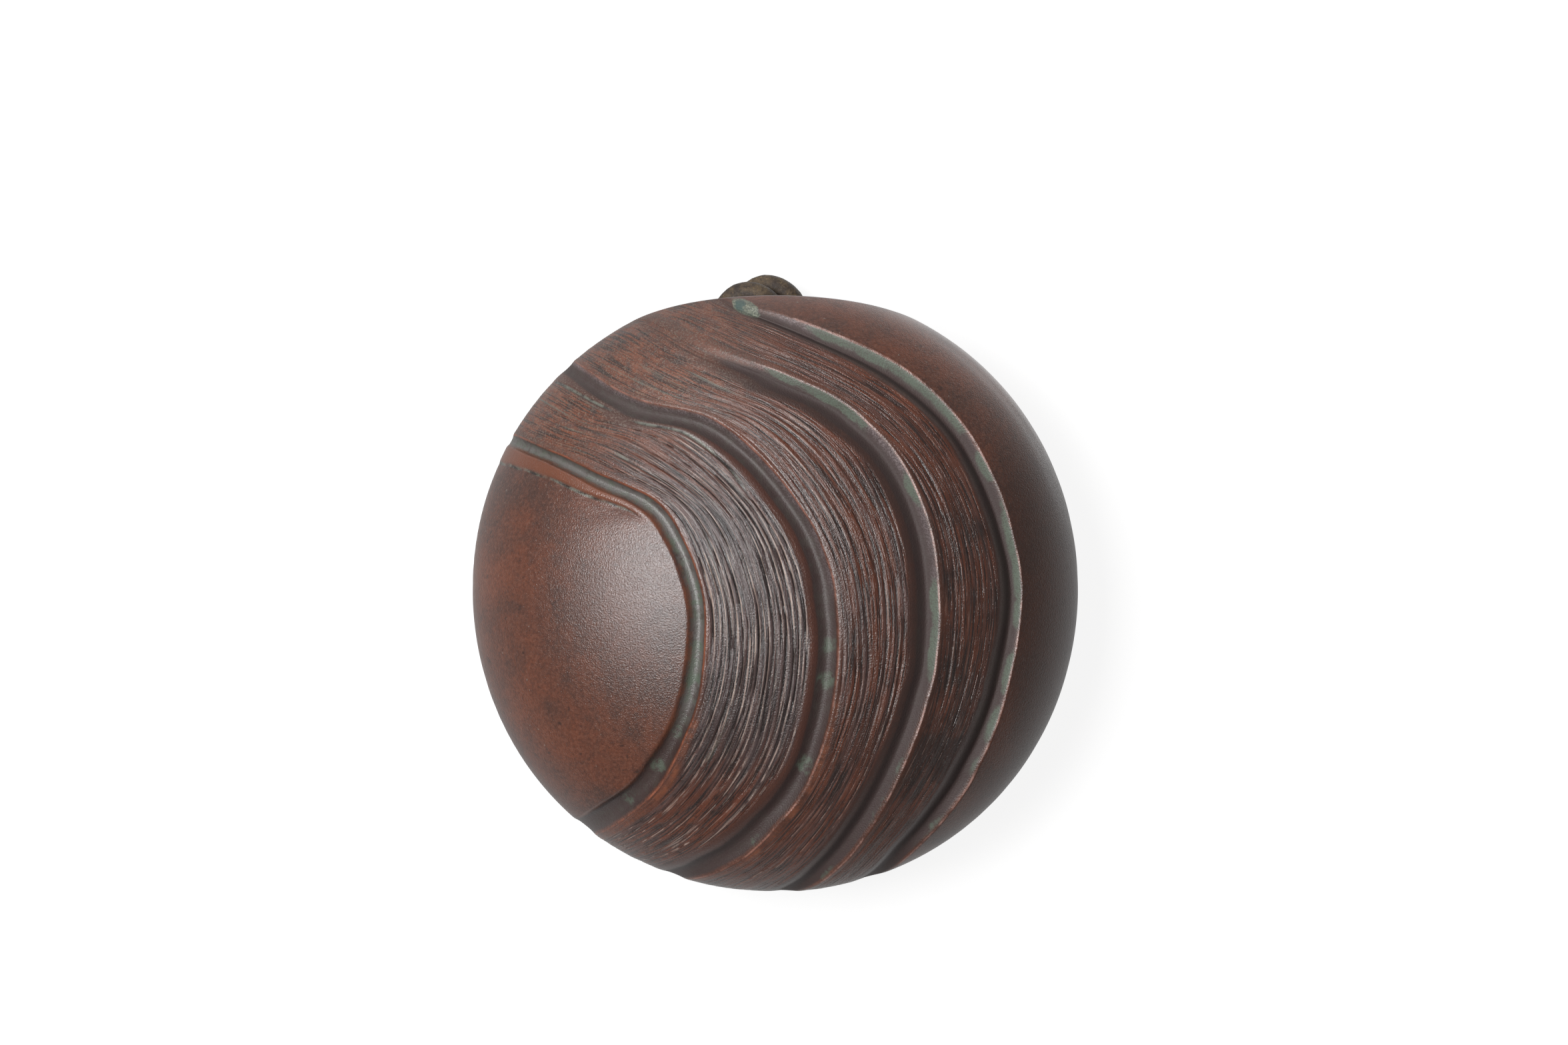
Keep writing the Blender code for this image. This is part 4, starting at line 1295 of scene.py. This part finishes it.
def plain_glaze(graph, place):
    """The glaze's colour, its peel for the bump, and how dark its clouds are."""
    clouds = graph.noise(place, 26.0, 4.0, 0.6, 0.6)
    patches = graph.noise(place, 110.0, 5.0, 0.7, 0.5)
    tone = (clouds * 0.55 + patches * 0.45).step(0.36, 0.64)
    colour = graph.mix(tone, RED_BROWN, DARK_BROWN)
    mottle = graph.noise(place, 1300.0, 3.0, 0.75)
    colour = graph.mix(mottle.step(0.44, 0.70) * 0.42, colour, NEAR_BLACK)
    colour = graph.mix(mottle.step(0.48, 0.36) * 0.30, colour, RUST_MOTTLE)
    dark = graph.noise(place, 520.0, 2.0, 0.5).step(0.66, 0.76)
    pale = graph.noise(place, 1250.0, 1.0, 0.3).step(0.775, 0.81)
    colour = graph.mix(dark * 0.55, colour, NEAR_BLACK)
    colour = graph.mix(pale * 0.6, colour, PALE_SPECK)
    peel = graph.noise(place, 2800.0, 2.0, 0.6)
    return colour, peel, tone


print("plain glaze from", RED_BROWN, "to", DARK_BROWN)

# %% [markdown]
# ## The carved front's glaze
#
# On top of the plain glaze come the relief's own effects, in the order in which they
# cover each other. `on` holds the layers that were stored on the mesh. Grit, wisps
# and blotches lie in space, while the rib's fine scratches lie on the grain's UV
# map, stretched far along the grooves. Painted shade darkens the bands before the
# third and the fourth groove and the rim, towards the right, where the key lamp's
# light falls off, and a patch low on the first combed band. A darker grey patch is
# painted on the dish under the key lamp's sheen, to tint the sheen grey-lilac.

# %% Carved glaze: the plain coat
GRAIN_STRETCH = (100.0, 3.4, 0.0)  # millimetres across again, and far fewer along
SHADED_GLAZE = (0.036, 0.015, 0.010)
SHEEN_GREY = (0.070, 0.046, 0.044)

glaze = Graph("carved_iron_glaze")
on = {name: glaze.layer(name) for name in layers}
place = glaze.place()
grain_map = glaze.node("ShaderNodeUVMap", {"uv_map": "grain"})
stretched = glaze.node("ShaderNodeVectorMath", {"operation": "MULTIPLY"},
                       [grain_map, GRAIN_STRETCH])
grit = glaze.noise(place, 2600.0, 2.0, 0.7)
wisps = glaze.noise(place, 420.0, 4.0, 0.65, 0.4)
blotch = glaze.noise(place, 330.0, 5.0, 0.75, 0.3)
scratches = glaze.noise(stretched, 2.1, 3.0, 0.65, 0.15)
colour, peel, tone = plain_glaze(glaze, place)
# Painted shade on the plain glaze.
colour = glaze.mix(on["shade"] * 0.75, colour, SHADED_GLAZE)
# The painted grey under the sheen on the dish.
colour = glaze.mix(on["grey_under_sheen"] * 0.6, colour, SHEEN_GREY)
print("plain coat:", len(glaze.tree.nodes), "nodes")

# %% [markdown]
# The combed clay is red where the glaze ran thin and purple-grey where it is
# thicker. The weakly combed upper left is blotched with rust and ash. Fine scratches
# are near-black, and the ridges between them faintly tan, with a little painted glint.

# %% Carved glaze: the combed clay
COMBED_RED = (0.150, 0.045, 0.023)
COMBED_PURPLE = (0.098, 0.066, 0.064)
SHADED_CLAY = (0.030, 0.015, 0.012)
RUST = (0.240, 0.084, 0.045)
ASH = (0.085, 0.060, 0.052)
CREST_TAN_AND_GLINT = (0.470, 0.345, 0.290)

clouded = glaze.noise(stretched, 0.5, 3.0, 0.6, 0.5).step(0.40, 0.64) * 0.5
clay = glaze.mix((clouded + on["purple"] * 0.8).step(0.1, 1.0), COMBED_RED, COMBED_PURPLE)
# Painted shade on the combed clay, broken up by noise.
dusk = glaze.noise(place, 70.0, 3.0, 0.6).step(0.40, 0.62, 0.35, 1.0)
clay = glaze.mix(on["shade"] * dusk * 0.92, clay, SHADED_CLAY)
clay = glaze.mix(on["weak"] * blotch.step(0.46, 0.58) * 0.75, clay, RUST)
clay = glaze.mix(on["weak"] * blotch.step(0.47, 0.36) * 0.70, clay, ASH)
clay = glaze.mix(scratches.step(0.51, 0.42) * 0.82, clay, NEAR_BLACK)
ridges = scratches.step(0.60, 0.68) * (1 - on["weak"] * 0.6)
clay = glaze.mix(ridges * 0.22, clay, CREST_TAN_AND_GLINT)
colour = glaze.mix(on["combed"], colour, clay)
print("with the combed clay:", len(glaze.tree.nodes), "nodes")

# %% [markdown]
# On it lie the bare slopes before the channels, the near-black valleys and thin tan
# crests that the comb's teeth left, and pale specks and grey-green dabs. The slopes'
# dark brown and the valleys' near-black are partly painted shade, and the crests' tan
# is partly a painted glint.

# %% Carved glaze: slopes, valleys and crests
SLOPE_RED = (0.085, 0.030, 0.020)
SLOPE_BROWN_AND_SHADE = (0.046, 0.025, 0.021)
SPECK_TAN = (0.270, 0.215, 0.170)
DAB_GREEN = (0.175, 0.185, 0.150)

# The bare slopes: the glaze's rust red, darkened to brown by painted shade.
bare_slope = glaze.mix(on["slope_painted_shade"], SLOPE_RED, SLOPE_BROWN_AND_SHADE)
colour = glaze.mix(on["slope"] * wisps.step(0.30, 0.55, 0.6, 0.9), colour, bare_slope)
# Near-black valleys, partly painted shade in them.
colour = glaze.mix(on["valley"].step(0.15, 0.7) * 0.94, colour, NEAR_BLACK)
# Tan crests, partly a painted glint; fewer show in the painted shade.
broken = glaze.noise(stretched, 1.3, 4.0, 0.8).step(0.38, 0.58, 0.08, 0.92)
crest_shows = on["crest"].step(0.35, 0.95) * broken * (1 - on["shade"] * 0.5)
colour = glaze.mix(crest_shows, colour, CREST_TAN_AND_GLINT)
colour = glaze.mix(grit.step(0.52, 0.62) * on["weak"] * 0.50, colour, SPECK_TAN)
dabs = glaze.noise(stretched, 0.75, 4.0, 0.7, 0.4).step(0.60, 0.68) * on["combed"]
colour = glaze.mix(dabs * (on["weak"] * 0.5 + on["purple"] * 0.45), colour, DAB_GREEN)
print("with the comb's marks:", len(glaze.tree.nodes), "nodes")

# %% [markdown]
# The channels are a dark brown, partly painted shade in them, and the first is
# glassy grey-green. The others' right walls are lilac: partly the glaze's frost and
# partly a painted sheen of the key lamp, with painted shade over it towards the right
# and a painted highlight at the grooves' heads. The thick glaze in the pools is a
# milky green. At the last groove's head lies a leaf-shaped pool, teal in its deep
# part and speckled pale in the rest.

# %% Carved glaze: channels, frost and pools
# The channels' dark brown is partly painted shade in them.
FLOOR_BROWN_AND_SHADE = (0.048, 0.027, 0.025)
FLOOR_GREY = (0.140, 0.132, 0.124)
LILAC_FROST_AND_SHEEN = (0.275, 0.220, 0.224)
CELADON = (0.108, 0.136, 0.100)
LEAF_PALE = (0.250, 0.270, 0.205)
LEAF_GREEN = (0.090, 0.110, 0.085)
TEAL = (0.055, 0.095, 0.085)

# The channels' floors: dark brown with painted shade, the first grey.
floor = glaze.mix(on["glassy"] * blotch.step(0.36, 0.52, 0.35, 1.0), FLOOR_BROWN_AND_SHADE, FLOOR_GREY)
floor = glaze.mix(wisps.step(0.44, 0.70) * (0.06 + on["glassy"] * 0.60), floor, CELADON)
colour = glaze.mix(on["channel"].step(0.25, 0.85) * 0.94, colour, floor)
# The lilac frost, partly a painted sheen of the key lamp; painted shade darkens it towards the
# right.
frost = glaze.mix(grit.step(0.38, 0.58) * 0.75, LILAC_FROST_AND_SHEEN, FLOOR_BROWN_AND_SHADE)
frost = glaze.mix(on["shade"] * 0.5, frost, FLOOR_BROWN_AND_SHADE)
patchy = glaze.noise(place, 240.0, 4.0, 0.7).step(0.34, 0.60, 0.35, 1.0)
colour = glaze.mix(on["wall_strip"].step(0.30, 1.0) * patchy, colour, frost)
pool = on["pool"] + (glaze.noise(place, 260.0, 3.0, 0.6) - 0.5) * 0.9
on_floor = pool.step(0.50, 0.85) * wisps.step(0.38, 0.58) * on["channel"] * 0.75
colour = glaze.mix(on_floor, colour, CELADON)
on_wall = pool.step(0.22, 0.50) * on["wall_strip"].step(0.12, 0.42)
colour = glaze.mix(on_wall * grit.step(0.62, 0.40, 0.5, 0.95), colour, CELADON)
ragged = (wisps - 0.5) * 0.9
pale_leaf = glaze.mix(grit.step(0.40, 0.60), LEAF_PALE, LEAF_GREEN)
colour = glaze.mix((on["leaf"] + ragged).step(0.20, 0.50) * 0.9, colour, pale_leaf)
colour = glaze.mix((on["leaf_deep"] + ragged).step(0.50, 0.90) * 0.9, colour, TEAL)
print("with the channels:", len(glaze.tree.nodes), "nodes")

# %% [markdown]
# Last come the folds, dark with pale flecks, the orange ridge, shoulders and sills,
# and the thin bright line where the glaze breaks on a crisp edge; its pink on the
# later grooves is partly a painted glint. The channels are rougher than the bands,
# most of all the pink-edged ones, and so are the frosted walls and the weakly combed
# part. The bump is orange peel all over, scratches where the clay is combed, and
# grit, most of all on the frost.

# %% Carved glaze: folds, shoulders, edges and gloss
FOLD_DARK = (0.035, 0.034, 0.032)
FOLD_PALE = (0.170, 0.180, 0.150)
SHOULDER_ORANGE = (0.215, 0.072, 0.036)
EDGE_ORANGE = (0.330, 0.105, 0.055)
EDGE_PINK_AND_GLINT = (0.380, 0.215, 0.180)

fold_line = glaze.mix(wisps.step(0.42, 0.58), FOLD_DARK, FOLD_PALE)
colour = glaze.mix(on["fold"].step(0.25, 0.8) * 0.85, colour, fold_line)
colour = glaze.mix(on["ridge"] * 0.7, colour, SHOULDER_ORANGE)
worn = glaze.noise(place, 150.0, 5.0, 0.75).step(0.40, 0.62, 0.05, 0.92)
colour = glaze.mix(on["shoulder"].step(0.3, 1.0) * worn, colour, SHOULDER_ORANGE)
# The edges' thin line: orange where the glaze breaks thin, and pink that is partly a painted glint.
edge = glaze.mix(on["pink"], EDGE_ORANGE, EDGE_PINK_AND_GLINT)
colour = glaze.mix(on["lip"].step(0.45, 0.95) * worn, colour, edge)
rough = 0.30 + tone * 0.03 - on["combed"] * 0.04 + on["wall_strip"] * 0.08
rough = rough + on["channel"] * (0.10 + on["pink"] * 0.28) + on["weak"] * 0.12
height = peel * 0.10 + scratches * on["combed"] * 0.24
height = height + grit * (on["wall_strip"] * 0.08 + on["combed"] * 0.03 + 0.06)
glaze.coat(carved_front, colour, rough, height, PEEL_RELIEF, 1.7)

# %% [markdown]
# ## The back's glaze and its bare foot
#
# A glazed pot would stick to the kiln's shelf, so the flat face that it was fired on
# is wiped clean. The bare clay is a dry, dark grey-brown. The leaning upper back and
# the strap keep their glaze.

# %% Back glaze
BARE_CLAY = (0.085, 0.062, 0.050)
GROG_CLAY = (0.135, 0.100, 0.080)
BARE_FROM = -0.35  # millimetres before the wall at which the wiped clay begins
BARE_FULL = -0.10


def glaze_back(piece, name, bare_foot):
    graph = Graph(name)
    place = graph.place()
    colour, peel, tone = plain_glaze(graph, place)
    rough = 0.44 + tone * 0.06
    height = peel * 0.12
    if bare_foot:
        depth = graph.node("ShaderNodeSeparateXYZ", values=[place], out="Y") * (1 / MM)
        bare = (depth + graph.noise(place, 90.0, 3.0, 0.6) * 0.9).step(BARE_FROM, BARE_FULL)
        grog = graph.noise(place, 1400.0, 2.0, 0.7)
        colour = graph.mix(bare, colour, graph.mix(grog.step(0.35, 0.7), BARE_CLAY, GROG_CLAY))
        rough = rough + bare * 0.42
        height = height + grog * bare * 0.10
    graph.coat(piece, colour, rough, height, PEEL_RELIEF, 1.5)


glaze_back(back_slab, "slab_iron_glaze", bare_foot=True)
glaze_back(cord_strap, "strap_iron_glaze", bare_foot=False)

# %% [markdown]
# ## Waxed leather
#
# The cord is dark olive-brown leather, rubbed with wax. Its grain has cracked, and
# the tan of the hide shows through in places as short fibres.

# %% Leather
LEATHER_DARK = (0.052, 0.036, 0.027)
LEATHER_OLIVE = (0.140, 0.098, 0.060)
CREASE_DARK = (0.022, 0.015, 0.013)
HIDE_TAN = (0.300, 0.200, 0.090)
LEATHER_RELIEF = 0.6 * MM

leather = Graph("waxed_leather_cord")
place = leather.place()
clouds = leather.noise(place, 260.0, 3.0, 0.6, 0.4)
creases = leather.noise(place, 1100.0, 4.0, 0.7, 0.8)
fibres = leather.noise(place, 1900.0, 3.0, 0.7, 1.5)
colour = leather.mix(clouds.step(0.35, 0.65), LEATHER_DARK, LEATHER_OLIVE)
colour = leather.mix(creases.step(0.52, 0.60) * 0.55, colour, CREASE_DARK)
frayed = fibres.step(0.56, 0.66) * clouds.step(0.35, 0.6)
colour = leather.mix(frayed * 0.8, colour, HIDE_TAN)
leather.coat(leather_cord, colour, 0.48 + clouds * 0.12, creases * 0.35 + fibres * 0.15,
             LEATHER_RELIEF, 1.5)

# %% [markdown]
# ## The wall, the world and the lamps
#
# The photograph has a white ground with a faint soft shadow to the lower right. A
# white wall stands just behind the vase. Only the eye and, at half strength,
# reflections meet it, and only from its front, so it neither darkens the vase's back
# nor hides it from behind. It glows, and its grey paint takes the shadow.

# %% White wall
WALL_GAP = 0.4 * MM
WALL_SIZE = 1.2
WALL_GLOW = 0.88
WALL_PAINT = (0.22, 0.22, 0.22, 1)
IN_REFLECTIONS = 0.5

bpy.ops.object.select_all(action="DESELECT")
bpy.ops.mesh.primitive_plane_add(size=WALL_SIZE, location=(0, WALL_GAP, 0),
                                 rotation=(math.radians(90), 0, 0))
wall = bpy.context.object
wall.name = "wall"
bpy.ops.object.transform_apply(location=True, rotation=True, scale=True)
backdrop = Graph("white_wall")
seen = (backdrop.node("ShaderNodeLightPath", out="Is Camera Ray")
        + backdrop.node("ShaderNodeLightPath", out="Is Glossy Ray") * IN_REFLECTIONS)
from_front = 1 - backdrop.node("ShaderNodeNewGeometry", out="Backfacing")
lit = backdrop.node("ShaderNodeAddShader", values=[
    backdrop.node("ShaderNodeEmission", Strength=WALL_GLOW),
    backdrop.node("ShaderNodeBsdfDiffuse", Color=WALL_PAINT)])
clear = backdrop.node("ShaderNodeBsdfTransparent")
shown = backdrop.node("ShaderNodeMixShader", values=[seen * from_front, clear, lit])
backdrop.tree.nodes.remove(backdrop.shader)
output = next(n for n in backdrop.tree.nodes if n.type == "OUTPUT_MATERIAL")
backdrop.link(shown, output.inputs["Surface"])
wall.data.materials.append(backdrop.material)
wall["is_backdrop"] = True
print("wall", WALL_GAP / MM, "mm behind the vase")

# %% [markdown]
# The eye sees a white world, and the vase gets an even, faint light from it. A soft
# lamp in front at the left gives the broad sheen on the dish. A large one above
# fills the shadows, and one behind lights the back for the views from there.

# %% World
WORLD_FILL = 0.13

world = bpy.data.worlds.new("white_room")
bpy.context.scene.world = world
world.use_nodes = True
nodes, links = world.node_tree.nodes, world.node_tree.links
background = nodes["Background"]
rays = nodes.new("ShaderNodeLightPath")
light = nodes.new("ShaderNodeMapRange")
background.inputs["Color"].default_value = (1, 1, 1, 1)
links.new(rays.outputs["Is Camera Ray"], light.inputs["Value"])
light.inputs["To Min"].default_value = WORLD_FILL
light.inputs["To Max"].default_value = 1.0
links.new(light.outputs["Result"], background.inputs["Strength"])
print("world:", world.name)

# %% [markdown]
# All three lamps are soft squares that look at the middle of the vase. The colours
# are shown as they are, without a film's curve, so that white stays white.

# %% Lamps
AIM = Vector((0, -0.03, 0))
LAMPS = (  # name, place, size, power
    ("key", (-0.42, -1.05, 0.14), 0.44, 11.0),
    ("top_fill", (-0.35, -0.50, 1.0), 0.8, 2.4),
    ("back_fill", (0.5, 0.9, 0.6), 0.9, 3.5),
)
for name, place, size, power in LAMPS:
    bpy.ops.object.light_add(type="AREA", location=place)
    lamp = bpy.context.object
    lamp.name = name
    lamp.data.size = size
    lamp.data.energy = power
    lamp.rotation_euler = (AIM - Vector(place)).to_track_quat("-Z", "Y").to_euler()
bpy.context.scene.view_settings.view_transform = "Standard"
print("lamps:", len(LAMPS))

# %% [markdown]
# ## The pieces' bodies
#
# Each piece is parented to the empty of the body that carries it, and the solid that
# it stands for is hidden.

# %% Bodies and hidden solids
for piece, body, node, slot in (
        (carved_front, "vase", "front_shell", "iron_glaze"),
        (back_slab, "vase", "back_wall", "iron_glaze_back"),
        (cord_strap, "vase", "cord_lug", "iron_glaze_back"),
        (leather_cord, "cord_loop", "hanging_cord", "waxed_leather")):
    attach(piece, body)
    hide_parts(node)
    print(piece.name, "rides on", body, "and stands for", node)

# %% [markdown]
# Last, the box of the solids and the box of everything that is dressed are printed,
# so that the two can be compared.

# %% Sizes
boxes = {"cad": [list(p) for p in cad_box], "visual": [list(p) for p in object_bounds()]}
for name, (low, high) in boxes.items():
    print(name, [round(v / MM, 2) for v in low], [round(v / MM, 2) for v in high])
